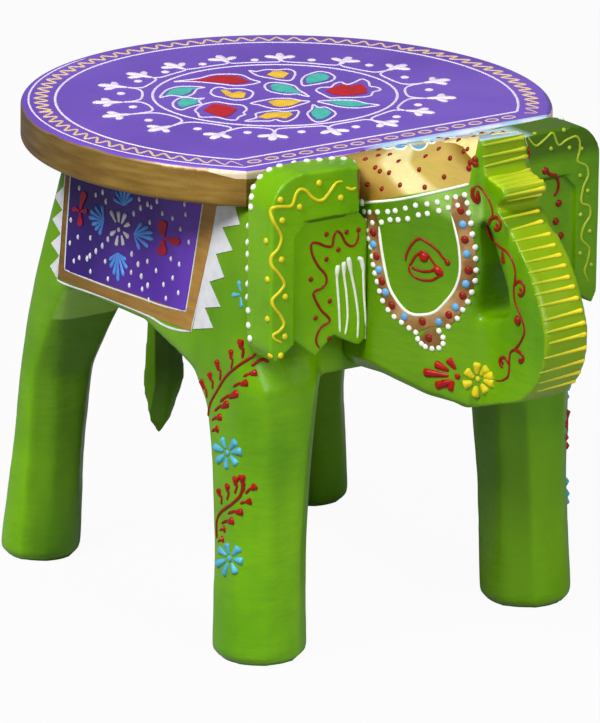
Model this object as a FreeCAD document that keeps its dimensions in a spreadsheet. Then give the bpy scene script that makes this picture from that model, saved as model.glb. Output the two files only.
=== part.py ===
"""Carved elephant stool: a round seat board on an elephant of glued mango-wood blocks.

The elephant faces -Y, +Z is up, and the floor is z = 0. The origin is the middle of the
stool's outline on the floor, so X = 0 is the plane that halves the animal.
Lengths are millimetres. Every size has its own cell in the sheet made from SIZES.
"""
import FreeCAD, Part
import os
import re
import Sketcher

# Driving sizes: name, value, meaning
SIZES = (
    ("seat_radius", 150.0, "radius of the round seat board"),
    ("seat_chord", 109.0, "seat centre to the straight front edge"),
    ("seat_thickness", 22.0, "thickness of the seat board"),
    ("seat_height", 280.0, "floor to the top of the seat board"),
    ("seat_edge_round", 3.0, "rounding of the seat board's edges"),
    ("breast_step", 13.0, "breast plane ahead of the seat's straight edge"),
    ("body_length_top", 218.0, "breast plane to rump under the seat"),
    ("body_length_low", 236.0, "breast plane to rump at the belly"),
    ("belly_height", 173.0, "floor to the underside of the belly"),
    ("chest_height", 158.0, "floor to the lower edge of the chest"),
    ("chest_length", 56.0, "depth of the flat under the chest"),
    ("flank_inner", 62.0, "middle plane to the glued face of a flank"),
    ("flank_outer_top", 100.5, "middle plane to the flank under the seat"),
    ("flank_outer_low", 112.0, "middle plane to the flank at the belly"),
    ("breast_corner", 6.0, "bevel on the flank's front corner"),
    ("rump_corner", 26.0, "bevel on the flank's rear corner"),
    ("hip_edge", 2.0, "bevel left on a leg where it meets the belly"),
    ("front_foot_size", 49.0, "front foot across its flats"),
    ("front_foot_side", 92.5, "middle plane to the front foot's centre"),
    ("front_foot_back", 11.0, "breast plane back to the front foot's centre"),
    ("front_foot_facet", 14.0, "bevel on the front leg's corners"),
    ("front_hip_length", 101.0, "front leg front to back at the belly"),
    ("rear_foot_size", 43.5, "rear foot across its flats"),
    ("rear_foot_side", 95.0, "middle plane to the rear foot's centre"),
    ("rear_foot_back", 229.0, "breast plane back to the rear foot's centre"),
    ("rear_foot_facet", 12.0, "bevel on the rear leg's corners"),
    ("rear_hip_length", 58.0, "rear leg front to back at the belly"),
    ("foot_round", 4.0, "rounding under each foot"),
    ("head_reach", 157.0, "seat's straight edge to the front of the trunk"),
    ("jaw_height", 150.0, "floor to the jaw"),
    ("crown_height", 307.0, "floor to the top of the raised trunk"),
    ("trunk_width", 30.0, "thickness of the trunk board"),
    ("cheek_half_width", 47.5, "middle plane to the cheek at the breast"),
    ("ear_half_span", 112.0, "middle plane to the ear's outer edge"),
    ("ear_bottom", 178.0, "floor to the ear's lowest tip"),
    ("ear_top", 285.0, "floor to the top of the ear"),
    ("ear_thickness", 24.0, "thickness of the ear board"),
    ("ear_corner", 21.0, "radius of the ear's upper outer corner"),
    ("ear_border", 16.5, "width of the ear's raised outer border"),
    ("ear_brow", 28.0, "height of the ear's raised upper border"),
    ("ear_panel_depth", 3.0, "depth of the ear's sunk panel"),
    ("tail_top", 246.0, "floor to the top of the tail"),
    ("tail_tip", 50.0, "floor to the tail's tip"),
    ("tail_half_width", 15.5, "half the tail's greatest width"),
    ("tail_thickness", 14.0, "tail's thickness through its ridge"),
    ("tail_swing", 11.0, "how far the tail's tip hangs out past the rump"),
    ("dowel_radius", 5.0, "radius of the beech dowels"),
    ("dowel_clearance", 0.2, "gap round a dowel in its hole"),
    ("dowel_end_gap", 1.0, "gap past each end of a dowel"),
    ("seat_dowel_rise", 12.0, "seat dowel's length in the seat board"),
    ("dowel_bite", 20.0, "dowel's length in a body block"),
    ("seat_dowel_front", 45.0, "breast plane back to the front seat dowels"),
    ("seat_dowel_rear", 180.0, "breast plane back to the rear seat dowels"),
    ("flank_dowel_front", 65.0, "breast plane back to the front flank dowels"),
    ("flank_dowel_rear", 165.0, "breast plane back to the rear flank dowels"),
    ("flank_dowel_drop", 43.0, "seat's underside down to the flank dowels"),
    ("head_dowel_low", 192.0, "floor to the lower head dowel"),
    ("head_dowel_high", 235.0, "floor to the upper head dowel"),
    ("head_dowel_reach", 28.0, "head dowel's length in the trunk board"),
    ("cheek_dowel_ahead", 42.0, "breast plane to the cheek dowels"),
    ("cheek_dowel_low", 180.0, "floor to the lower cheek dowel"),
    ("cheek_dowel_high", 248.0, "floor to the upper cheek dowel"),
    ("cheek_dowel_bite", 11.0, "cheek dowel's length in each cheek"),
    ("ear_dowel_side", 80.0, "middle plane to the ear dowels"),
    ("ear_dowel_low", 206.0, "floor to the lower ear dowel"),
    ("ear_dowel_high", 240.0, "floor to the upper ear dowel"),
    ("ear_dowel_reach", 14.0, "ear dowel's length in the ear board"),
    ("tail_dowel_radius", 3.0, "radius of the tail's dowel"),
    ("tail_dowel_height", 222.0, "floor to the tail's dowel"),
    ("tail_dowel_reach", 5.0, "tail dowel's length in the tail"),
    ("cut_overrun", 5.0, "how far a cut runs past the wood"),
)
SIZE_NAMES = {name for name, value, meaning in SIZES}

# Places worked out from the driving sizes, as expressions
SEAT_CENTRE = "(seat_chord + head_reach - seat_radius) / 2"
SEAT_FRONT = f"({SEAT_CENTRE} - seat_chord)"
SEAT_CORNER = "sqrt(seat_radius ^ 2 - seat_chord ^ 2)"
BREAST = f"({SEAT_FRONT} - breast_step)"
BODY_TOP = "(seat_height - seat_thickness)"
HEAD_LENGTH = "(head_reach - breast_step)"
HEAD_HEIGHT = "(crown_height - jaw_height)"
RUMP_TOP = f"({BREAST} + body_length_top)"
RUMP_LOW = f"({BREAST} + body_length_low)"
RUMP_SLOPE = f"((body_length_low - body_length_top) / ({BODY_TOP} - belly_height))"
CHEEK_FACE = "(trunk_width / 2)"

# One leg is a stack of eight-sided outlines between the foot and the belly. Each row
# gives the height, then how far the inner, outer, front and back faces have moved from
# the foot's outline to the outline at the belly, then how much bevel has gone
FRONT_LEG_SHARES = (
    (0.00, 0.00, 0.00, 0.00, 0.00, 0.00),
    (0.40, 0.40, 0.43, 0.23, 0.04, 0.00),
    (0.66, 0.80, 0.50, 0.27, 0.08, 0.10),
    (0.82, 1.00, 0.71, 0.33, 0.14, 0.35),
    (0.915, 1.00, 0.86, 0.40, 0.30, 0.65),
    (1.00, 1.00, 1.00, 1.00, 1.00, 1.00),
)
REAR_LEG_SHARES = (
    (0.00, 0.00, 0.00, 0.00, 0.00, 0.00),
    (0.40, 0.20, 1.00, 0.05, 0.42, 0.00),
    (0.66, 0.43, 1.00, 0.16, 0.80, 0.10),
    (0.82, 0.85, 1.00, 0.50, 0.97, 0.35),
    (0.915, 1.00, 1.00, 0.75, 1.00, 0.65),
    (1.00, 1.00, 1.00, 1.00, 1.00, 1.00),
)

# Head places: share of the head's length ahead of the breast plane, then share of the
# head's height above the jaw. The crown runs from the breast to the raised trunk's top
CROWN_SHARES = ((0.0, 0.85), (0.17, 0.90), (0.37, 0.955), (0.573, 1.0))
JAW_SHARES = ((0.0, 0.032), (0.222, 0.032), (0.48, 0.0), (0.598, 0.032), (0.70, 0.064), (0.813, 0.096))
TRUNK_LOW_VIA_SHARES = (0.952, 0.20)
TRUNK_FRONT_SHARES = (1.0, 0.37)
TRUNK_HIGH_VIA_SHARES = (0.925, 0.54)
TRUNK_NECK_SHARES = (0.757, 0.711)
TRUNK_TIP_SHARES = ((0.671, 0.773), (0.726, 0.811), (0.721, 0.846), (0.590, 0.879))
TRUNK_GAP_SHARES = (
    (0.572, 0.357),
    (0.598, 0.548),
    (0.570, 0.726),
    (0.623, 0.665),
    (0.678, 0.573),
    (0.733, 0.490),
    (0.754, 0.401),
)

# A cheek is a stack of upright outlines from the breast to the trunk. Each row gives the
# place along the head, the width that is left, then the heights of the jaw at the trunk
# and at the side, of the side's upper edge, of the brow's slope and of the crown
CHEEK_SHARES = (
    (0.00, 1.00, 0.032, 0.075, 0.79, 0.83, 0.85),
    (0.17, 0.92, 0.032, 0.080, 0.71, 0.83, 0.90),
    (0.37, 0.55, 0.012, 0.040, 0.78, 0.895, 0.955),
    (0.573, 0.15, 0.024, 0.030, 0.84, 0.94, 1.0),
)
CHEEK_JAW_BEVEL_SHARE = 0.25
CHEEK_BROW_SHARE = 0.62

# Ear outline: share of the ear's width out from the cheek, then share of its height
EAR_HEM_SHARES = (
    (1.00, 0.09),
    (0.94, 0.018),
    (0.71, 0.107),
    (0.49, 0.0),
    (0.30, 0.10),
    (0.07, 0.018),
    (0.00, 0.05),
)
EAR_INNER_TOP_SHARE = 0.985
EAR_CORNER_VIA_SHARE = 0.293

# Bevel on the sunk panel's upper corner, as a share of the ear's border
PANEL_BEVEL_SHARE = 0.5

# A tail is a stack of five-sided outlines. Each row gives the share of the way down from
# the belly to the tip, then the shares that are left of the half width (of the whole and
# of the flat edge towards the rump) and of the thickness, then the share of the swing
TAIL_SHARES = (
    (0.00, 0.62, 0.40, 0.90, 0.0),
    (0.40, 0.80, 0.12, 1.00, 0.0),
    (0.73, 1.00, 0.10, 1.00, 0.0),
    (0.92, 0.55, 0.08, 0.60, 0.55),
    (1.00, 0.06, 0.03, 0.12, 1.0),
)
TAIL_TOP_THICKNESS_SHARE = 0.8

# How close two places are to count as the same one
SAME_PLACE = 0.001

# Which way each plane of a body faces
PLANE_NORMALS = {
    "XY_Plane": FreeCAD.Vector(0, 0, 1),
    "XZ_Plane": FreeCAD.Vector(0, -1, 0),
    "YZ_Plane": FreeCAD.Vector(1, 0, 0),
}


def bound(text):
    """Give an expression's size names their sheet's name."""
    return re.sub("[a-z_]+", lambda word: "Sizes." + word[0] if word[0] in SIZE_NAMES else word[0], text)


def make_sheet(document):
    """Put every driving size in a cell of its own, under its name."""
    sheet = document.addObject("Spreadsheet::Sheet", "Sizes")
    for row, (name, value, meaning) in enumerate(SIZES, start=1):
        sheet.set(f"A{row}", meaning)
        sheet.set(f"B{row}", str(value))
        sheet.setAlias(f"B{row}", name)
    document.recompute()
    return sheet


def number(text):
    """Work out an expression of size names."""
    return float(sizes.evalExpression(bound(text)))


def origin_plane(body, role):
    return next(flat for flat in body.Origin.OriginFeatures if flat.Role == role)


def place_on(feature, body, plane, across, up, ahead):
    """Lay a feature on one of its body's planes, moved by three expressions."""
    feature.AttachmentSupport = [(origin_plane(body, plane), "")]
    feature.MapMode = "FlatFace"
    for letter, text in (("x", across), ("y", up), ("z", ahead)):
        feature.setExpression(f"AttachmentOffset.Base.{letter}", bound(text))


def nearest_end(sketch, edge, place):
    """Which end of a sketch edge lies at a place: 1 is its start and 2 its end."""
    return min((1, 2), key=lambda end: sketch.getPoint(edge, end).distanceToPoint(place))


def fixed_point(edge, end, across, up):
    """Rules that hold a point of a sketch at two expressions from the sketch's origin."""
    return [
        (Sketcher.Constraint(kind, -1, 1, edge, end, number(text)), bound(text))
        for kind, text in (("DistanceX", across), ("DistanceY", up))
    ]


def outline(body, name, plane, ahead, stops):
    """A closed outline. A stop is (across, up), or (across, up, via across, via up)
    where an arc through the via point leads to it from the stop before."""
    sketch = body.newObject("Sketcher::SketchObject", name)
    place_on(sketch, body, plane, "0", "0", ahead)
    places = [FreeCAD.Vector(number(stop[0]), number(stop[1])) for stop in stops]
    edges = []
    rules = []
    for index, stop in enumerate(stops):
        start = places[index - 1]
        finish = places[index]
        if len(stop) == 2:
            edge = sketch.addGeometry(Part.LineSegment(start, finish))
        else:
            via = FreeCAD.Vector(number(stop[2]), number(stop[3]))
            edge = sketch.addGeometry(Part.Arc(start, via, finish))
            mark = sketch.addGeometry(Part.Point(via), True)
            rules.append((Sketcher.Constraint("PointOnObject", mark, 1, edge), None))
            rules += fixed_point(mark, 1, stop[2], stop[3])
        edges.append((edge, nearest_end(sketch, edge, start), nearest_end(sketch, edge, finish)))
    for index, (edge, start, finish) in enumerate(edges):
        before, before_start, before_finish = edges[index - 1]
        rules.append((Sketcher.Constraint("Coincident", before, before_finish, edge, start), None))
        rules += fixed_point(edge, finish, *stops[index][:2])
    sketch.addConstraint([rule for rule, text in rules])
    for index, (rule, text) in enumerate(rules):
        if text:
            sketch.setExpression(f"Constraints[{index}]", text)
    return sketch


def new_body(name):
    body = document.addObject("PartDesign::Body", name)
    body.Label = name
    return body


def pad(body, name, sketch, length, backwards=False):
    """Thicken an outline along its plane's normal, or the other way."""
    feature = body.newObject("PartDesign::Pad", name)
    feature.Profile = sketch
    feature.setExpression("Length", bound(length))
    feature.Reversed = backwards
    return feature


def loft(body, name, sections):
    """Stretch straight faces over a stack of outlines."""
    feature = body.newObject("PartDesign::AdditiveLoft", name)
    feature.Profile = sections[0]
    feature.Sections = sections[1:]
    feature.Ruled = True
    document.recompute()
    return feature


def pocket(body, name, sketch, length, backwards=False):
    """Cut an outline away against its plane's normal, or the other way."""
    document.recompute()
    before = body.Shape.Volume
    feature = body.newObject("PartDesign::Pocket", name)
    feature.Profile = sketch
    feature.setExpression("Length", bound(length))
    feature.Reversed = backwards
    document.recompute()
    if body.Shape.Volume >= before:
        raise RuntimeError(f"{name} cuts nothing")
    return feature


def edge_names(shape, wanted):
    """Names of the edges whose ends and middle all pass a test."""
    names = []
    for index, edge in enumerate(shape.Edges, start=1):
        middle = edge.valueAt((edge.FirstParameter + edge.LastParameter) / 2)
        if wanted(edge.Vertexes[0].Point) and wanted(edge.Vertexes[-1].Point) and wanted(middle):
            names.append(f"Edge{index}")
    return names


def soften(body, name, kind, size, wanted):
    """Fillet or chamfer the edges of the body that pass a test."""
    document.recompute()
    base = body.Tip
    feature = body.newObject(f"PartDesign::{kind}", name)
    feature.Base = (base, edge_names(base.Shape, wanted))
    feature.setExpression("Radius" if kind == "Fillet" else "Size", bound(size))
    document.recompute()
    return feature


def near(value, wanted):
    return abs(value - wanted) < SAME_PLACE


def mirrored(side, text):
    """A distance from the middle plane, on the animal's left (1) or right (-1)."""
    return f"{side} * ({text})"


def blend(first, second, share):
    """An expression for the place that lies a share of the way between two others."""
    return f"(({first}) + {share} * (({second}) - ({first})))"


def head_place(ahead_share, height_share):
    """The side view's place (Y, Z) for a pair of head shares."""
    return f"{BREAST} - {ahead_share} * {HEAD_LENGTH}", f"jaw_height + {height_share} * {HEAD_HEIGHT}"


def rump_at(height):
    """Y of the sloping rump at a height."""
    return f"({RUMP_TOP} + {RUMP_SLOPE} * ({BODY_TOP} - ({height})))"


def dowel_groups():
    """Each group: its radius, its plane and, for each dowel, the place across and up that
    plane, then where it starts and ends along the plane's normal."""
    seat = [
        (
            mirrored(side, "flank_inner + dowel_bite"),
            f"{BREAST} + {back}",
            f"{BODY_TOP} - dowel_bite",
            f"{BODY_TOP} + seat_dowel_rise",
        )
        for side in (-1, 1)
        for back in ("seat_dowel_front", "seat_dowel_rear")
    ]
    flank = [
        (
            f"{BREAST} + {back}",
            f"{BODY_TOP} - flank_dowel_drop",
            f"{side} * flank_inner - dowel_bite",
            f"{side} * flank_inner + dowel_bite",
        )
        for side in (-1, 1)
        for back in ("flank_dowel_front", "flank_dowel_rear")
    ]
    head = [
        ("0", height, f"-({BREAST} + dowel_bite)", f"-({BREAST} - head_dowel_reach)")
        for height in ("head_dowel_low", "head_dowel_high")
    ]
    cheek = [
        (
            f"{BREAST} - cheek_dowel_ahead",
            height,
            f"-({CHEEK_FACE} + cheek_dowel_bite)",
            f"{CHEEK_FACE} + cheek_dowel_bite",
        )
        for height in ("cheek_dowel_low", "cheek_dowel_high")
    ]
    ear = [
        (
            mirrored(side, "ear_dowel_side"),
            height,
            f"-({BREAST} + dowel_bite)",
            f"-({BREAST} - ear_dowel_reach)",
        )
        for side in (-1, 1)
        for height in ("ear_dowel_low", "ear_dowel_high")
    ]
    rump = rump_at("tail_dowel_height")
    tail = [("0", "tail_dowel_height", f"-({rump} + tail_dowel_reach)", f"-({rump} - dowel_bite)")]
    return {
        "seat_dowels": ("dowel_radius", "XY_Plane", seat),
        "flank_dowels": ("dowel_radius", "YZ_Plane", flank),
        "head_dowels": ("dowel_radius", "XZ_Plane", head),
        "cheek_dowels": ("dowel_radius", "YZ_Plane", cheek),
        "ear_dowels": ("dowel_radius", "XZ_Plane", ear),
        "tail_dowel": ("tail_dowel_radius", "XZ_Plane", tail),
    }


def drill(body, group, side=0):
    """Drill a body for the dowels of a group, or for those on one side of the animal."""
    radius, plane, dowels = dowel_groups()[group]
    for across, up, start, finish in dowels:
        sideways = number(start) + number(finish) if plane == "YZ_Plane" else number(across)
        if side * sideways < 0:
            continue
        document.recompute()
        before = body.Shape.Volume
        hole = body.newObject("PartDesign::SubtractiveCylinder", f"{group}_hole")
        place_on(hole, body, plane, across, up, f"{start} - dowel_end_gap")
        hole.setExpression("Radius", bound(f"{radius} + dowel_clearance"))
        hole.setExpression("Height", bound(f"{finish} - ({start}) + 2 * dowel_end_gap"))
        document.recompute()
        if body.Shape.Volume >= before:
            raise RuntimeError(f"{group} leaves {body.Label} whole")


def dowel_node(group):
    """The dowels of a group as separate cylinders under one name."""
    radius, plane, dowels = dowel_groups()[group]
    pins = []
    for across, up, start, finish in dowels:
        pin = document.addObject("Part::Cylinder", f"{group}_pin")
        pin.setExpression("Radius", bound(radius))
        pin.setExpression("Height", bound(f"{finish} - ({start})"))
        places = {
            "XY_Plane": (across, up, start),
            "XZ_Plane": (across, f"-({start})", up),
            "YZ_Plane": (start, across, up),
        }[plane]
        for letter, text in zip("xyz", places):
            pin.setExpression(f"Placement.Base.{letter}", bound(text))
        pin.Placement.Rotation = FreeCAD.Rotation(FreeCAD.Vector(0, 0, 1), PLANE_NORMALS[plane])
        pins.append(pin)
    node = document.addObject("Part::Compound", group)
    node.Label = group
    node.Links = pins
    return node


def seat_board():
    """A round board with one straight edge towards the head."""
    body = new_body("seat_board")
    stops = [
        (SEAT_CORNER, SEAT_FRONT, "0", f"{SEAT_CENTRE} + seat_radius"),
        (f"-{SEAT_CORNER}", SEAT_FRONT),
    ]
    board = outline(body, "seat_outline", "XY_Plane", BODY_TOP, stops)
    pad(body, "seat_plank", board, "seat_thickness")
    faces = (number(BODY_TOP), number("seat_height"))

    def on_a_face(place):
        return any(near(place.z, face) for face in faces)

    soften(body, "seat_round", "Fillet", "seat_edge_round", on_a_face)
    drill(body, "seat_dowels")
    return body


def bevelled(side, inner, outer, front, back, bevels):
    """Stops of an eight-sided outline seen from above. The bevels are those of the inner
    front, outer front, outer back and inner back corners."""
    inner_front, outer_front, outer_back, inner_back = bevels
    corners = (
        (f"{inner} + {inner_front}", front),
        (f"{outer} - {outer_front}", front),
        (outer, f"{front} + {outer_front}"),
        (outer, f"{back} - {outer_back}"),
        (f"{outer} - {outer_back}", back),
        (f"{inner} + {inner_back}", back),
        (inner, f"{back} - {inner_back}"),
        (inner, f"{front} + {inner_front}"),
    )
    return [(mirrored(side, across), up) for across, up in corners]


def leg(body, name, side, foot, belly, shares):
    """A leg from its foot to the belly. The foot and the belly each give the inner, outer,
    front and back faces, then the four bevels."""
    sections = []
    for index, (height, *face_shares, bevel_share) in enumerate(shares):
        faces = [blend(foot[face], belly[face], share) for face, share in enumerate(face_shares)]
        bevels = [blend(low, high, bevel_share) for low, high in zip(foot[4], belly[4])]
        stops = bevelled(side, *faces, bevels)
        section = outline(body, f"{name}_outline_{index}", "XY_Plane", f"{height} * belly_height", stops)
        sections.append(section)
    loft(body, name, sections)


def foot_faces(size, side, back):
    """The inner, outer, front and back faces of a foot."""
    half = f"{size} / 2"
    return [
        f"{side} - {half}",
        f"{side} + {half}",
        f"{BREAST} + {back} - {half}",
        f"{BREAST} + {back} + {half}",
    ]


def flank(name, side):
    """One side of the animal: half the trunk of its body, with a front and a rear leg."""
    body = new_body(name)
    sections = []
    levels = (
        ("belly_height", "flank_outer_low", RUMP_LOW),
        (BODY_TOP, "flank_outer_top", RUMP_TOP),
    )
    for height, outer, rump in levels:
        corners = (
            ("flank_inner", BREAST),
            (f"{outer} - breast_corner", BREAST),
            (outer, f"{BREAST} + breast_corner"),
            (outer, f"{rump} - rump_corner"),
            (f"{outer} - rump_corner", rump),
            ("flank_inner", rump),
        )
        stops = [(mirrored(side, across), up) for across, up in corners]
        sections.append(outline(body, f"flank_outline_{len(sections)}", "XY_Plane", height, stops))
    loft(body, "flank_block", sections)
    front_foot = foot_faces("front_foot_size", "front_foot_side", "front_foot_back")
    front_foot.append(["front_foot_facet"] * 4)
    front_hip = [
        "flank_inner",
        "flank_outer_low",
        BREAST,
        f"{BREAST} + front_hip_length",
        ["hip_edge", "breast_corner", "hip_edge", "hip_edge"],
    ]
    leg(body, "front_leg", side, front_foot, front_hip, FRONT_LEG_SHARES)
    rear_foot = foot_faces("rear_foot_size", "rear_foot_side", "rear_foot_back")
    rear_foot.append(["rear_foot_facet"] * 4)
    rear_hip = [
        "flank_inner",
        "flank_outer_low",
        f"{RUMP_LOW} - rear_hip_length",
        RUMP_LOW,
        ["hip_edge", "hip_edge", "rump_corner", "hip_edge"],
    ]
    leg(body, "rear_leg", side, rear_foot, rear_hip, REAR_LEG_SHARES)
    soften(body, "feet_round", "Fillet", "foot_round", lambda place: near(place.z, 0))
    drill(body, "seat_dowels", side)
    drill(body, "flank_dowels", side)
    drill(body, "ear_dowels", side)
    return body


def belly_block():
    """The middle of the animal's body, glued between the flanks."""
    body = new_body("belly_block")
    stops = [
        (BREAST, "chest_height"),
        (f"{BREAST} + chest_length", "chest_height"),
        (f"{BREAST} + front_hip_length", "belly_height"),
        (RUMP_LOW, "belly_height"),
        (RUMP_TOP, BODY_TOP),
        (BREAST, BODY_TOP),
    ]
    block = outline(body, "belly_outline", "YZ_Plane", "-flank_inner", stops)
    pad(body, "belly_plank", block, "2 * flank_inner")
    drill(body, "flank_dowels")
    drill(body, "head_dowels")
    drill(body, "tail_dowel")
    return body


def trunk_slab():
    """The middle board of the head: jaw, raised trunk with its tip bent forward, and crown."""
    body = new_body("trunk_slab")
    stops = [head_place(*place) for place in JAW_SHARES]
    stops.append(head_place(*TRUNK_FRONT_SHARES) + head_place(*TRUNK_LOW_VIA_SHARES))
    stops.append(head_place(*TRUNK_NECK_SHARES) + head_place(*TRUNK_HIGH_VIA_SHARES))
    stops += [head_place(*place) for place in TRUNK_TIP_SHARES]
    stops += [head_place(*place) for place in reversed(CROWN_SHARES)]
    stops += [(SEAT_FRONT, "seat_height"), (SEAT_FRONT, BODY_TOP), (BREAST, BODY_TOP)]
    board = outline(body, "trunk_outline", "YZ_Plane", f"-{CHEEK_FACE}", stops)
    pad(body, "trunk_plank", board, "trunk_width")
    gap_stops = [head_place(*place) for place in TRUNK_GAP_SHARES]
    gap = outline(body, "gap_outline", "YZ_Plane", f"{CHEEK_FACE} + cut_overrun", gap_stops)
    pocket(body, "trunk_gap", gap, "trunk_width + 2 * cut_overrun")
    drill(body, "head_dowels")
    drill(body, "cheek_dowels")
    return body


def cheek(name, side):
    """One side of the head, from the breast to where the trunk stands clear."""
    body = new_body(name)
    sections = []
    for ahead, width, *heights in CHEEK_SHARES:
        jaw, jaw_side, side_top, brow, crown = [head_place(0, height)[1] for height in heights]
        outer = blend(CHEEK_FACE, "cheek_half_width", width)
        bevel = f"{CHEEK_JAW_BEVEL_SHARE} * ({outer} - {CHEEK_FACE})"
        corners = (
            (CHEEK_FACE, jaw),
            (f"{outer} - {bevel}", jaw_side),
            (outer, f"{jaw_side} + {bevel}"),
            (outer, side_top),
            (blend(CHEEK_FACE, outer, CHEEK_BROW_SHARE), brow),
            (CHEEK_FACE, crown),
        )
        stops = [(mirrored(side, across), up) for across, up in corners]
        place = f"-({head_place(ahead, 0)[0]})"
        sections.append(outline(body, f"cheek_outline_{len(sections)}", "XZ_Plane", place, stops))
    loft(body, "cheek_block", sections)
    breast_heights = [head_place(0, height)[1] for height in CHEEK_SHARES[0][-3:]]
    laps = []
    for place, heights in ((BREAST, breast_heights), (SEAT_FRONT, ["seat_height"] * 3)):
        corners = (
            (CHEEK_FACE, BODY_TOP),
            ("cheek_half_width", BODY_TOP),
            ("cheek_half_width", heights[0]),
            (blend(CHEEK_FACE, "cheek_half_width", CHEEK_BROW_SHARE), heights[1]),
            (CHEEK_FACE, heights[2]),
        )
        stops = [(mirrored(side, across), up) for across, up in corners]
        laps.append(outline(body, f"lap_outline_{len(laps)}", "XZ_Plane", f"-({place})", stops))
    loft(body, "cheek_lap", laps)
    drill(body, "cheek_dowels")
    return body


def ear(name, side):
    """A flat ear with a zigzag hem, a sunk panel, and a lap over the flank's top."""
    body = new_body(name)
    width = "(ear_half_span - cheek_half_width)"
    height = "(ear_top - ear_bottom)"
    inner_top = ("cheek_half_width", f"ear_bottom + {EAR_INNER_TOP_SHARE} * {height}")
    corner_start = ("ear_half_span - ear_corner", "ear_top")
    corner_end = (
        "ear_half_span",
        "ear_top - ear_corner",
        f"ear_half_span - {EAR_CORNER_VIA_SHARE} * ear_corner",
        f"ear_top - {EAR_CORNER_VIA_SHARE} * ear_corner",
    )
    hem = []
    for out, up in EAR_HEM_SHARES:
        hem.append((f"cheek_half_width + {out} * {width}", f"ear_bottom + {up} * {height}"))
    top = [inner_top, corner_start, corner_end]
    board = outline(body, "ear_outline", "XZ_Plane", f"-{BREAST}", on_side(side, top + hem))
    pad(body, "ear_board", board, "ear_thickness")
    lap_end = "ear_half_span - ear_corner"
    lap = [
        ("cheek_half_width", BODY_TOP),
        ("cheek_half_width", "seat_height"),
        (lap_end, "seat_height"),
        (lap_end, BODY_TOP),
    ]
    ledge = outline(body, "lap_outline", "XZ_Plane", f"-{BREAST}", on_side(side, lap))
    pad(body, "ear_lap", ledge, "breast_step", backwards=True)
    panel_bevel = f"{PANEL_BEVEL_SHARE} * ear_border"
    panel = [
        ("cheek_half_width - cut_overrun", "ear_bottom - cut_overrun"),
        ("ear_half_span - ear_border", "ear_bottom - cut_overrun"),
        ("ear_half_span - ear_border", f"ear_top - ear_brow - {panel_bevel}"),
        (f"ear_half_span - ear_border - {panel_bevel}", "ear_top - ear_brow"),
        ("cheek_half_width - cut_overrun", "ear_top - ear_brow"),
    ]
    sunk = outline(body, "panel_outline", "XZ_Plane", f"-{BREAST} + ear_thickness", on_side(side, panel))
    pocket(body, "ear_panel", sunk, "ear_panel_depth")
    drill(body, "ear_dowels", side)
    return body


def on_side(side, stops):
    """The same outline on one side of the middle plane."""
    turned = []
    for stop in stops:
        via = [mirrored(side, stop[2]), stop[3]] if stop[2:] else []
        turned.append((mirrored(side, stop[0]), stop[1], *via))
    return turned


def tail():
    """A leaf-shaped tail with a ridge, glued high on the rump and hanging free below it."""
    body = new_body("tail")
    rows = [("tail_top", rump_at("tail_top"), *TAIL_SHARES[0][1:3], TAIL_TOP_THICKNESS_SHARE)]
    for drop, width, ridge, thickness, swing in TAIL_SHARES:
        height = blend("belly_height", "tail_tip", drop)
        rows.append((height, f"{RUMP_LOW} + {swing} * tail_swing", width, ridge, thickness))
    sections = []
    for height, front, width, ridge, thickness in rows:
        half = f"{width} * tail_half_width"
        flat = f"{ridge} * tail_half_width"
        middle = f"{front} + {thickness} * tail_thickness / 2"
        stops = [
            (f"-{half}", middle),
            (f"-{flat}", front),
            (flat, front),
            (half, middle),
            ("0", f"{front} + {thickness} * tail_thickness"),
        ]
        sections.append(outline(body, f"tail_outline_{len(sections)}", "XY_Plane", height, stops))
    loft(body, "tail_leaf", sections)
    drill(body, "tail_dowel")
    return body


def check(nodes):
    """Stop if any feature failed or any piece is not a sound solid."""
    document.recompute()
    for item in document.Objects:
        if "Invalid" in item.State or "Error" in item.State:
            raise RuntimeError(f"{item.Label} failed: {item.State}")
    for node in nodes:
        if node.Shape.isNull() or not node.Shape.isValid():
            raise RuntimeError(f"{node.Label} is not a sound solid")
        print(node.Label, "solids", len(node.Shape.Solids), "volume", round(node.Shape.Volume))


document = FreeCAD.newDocument("elephant_stool")
sizes = make_sheet(document)
nodes = [
    seat_board(),
    flank("right_flank", -1),
    flank("left_flank", 1),
    belly_block(),
    trunk_slab(),
    cheek("right_cheek", -1),
    cheek("left_cheek", 1),
    ear("right_ear", -1),
    ear("left_ear", 1),
    tail(),
]
nodes += [dowel_node(group) for group in dowel_groups()]
check(nodes)
os.makedirs("parts", exist_ok=True)
for node in nodes:
    node.Shape.exportStep(f"parts/{node.Label}.step")
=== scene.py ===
# %% [markdown]
# # A carved and painted elephant stool
# The stool is glued from hardwood blocks, carved, lacquered, and then decorated with thick
# cone paint, which stands up from the lacquer in beads and cords. The lesson follows that
# order: first the wood, then the lacquer, then each raised motif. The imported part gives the
# blocks' real places, so every piece here is made on top of them and nothing is fitted.

# %% Load the fixed frame
import math
import bpy
from mathutils import Matrix, Vector
from mathutils.bvhtree import BVHTree


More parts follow.
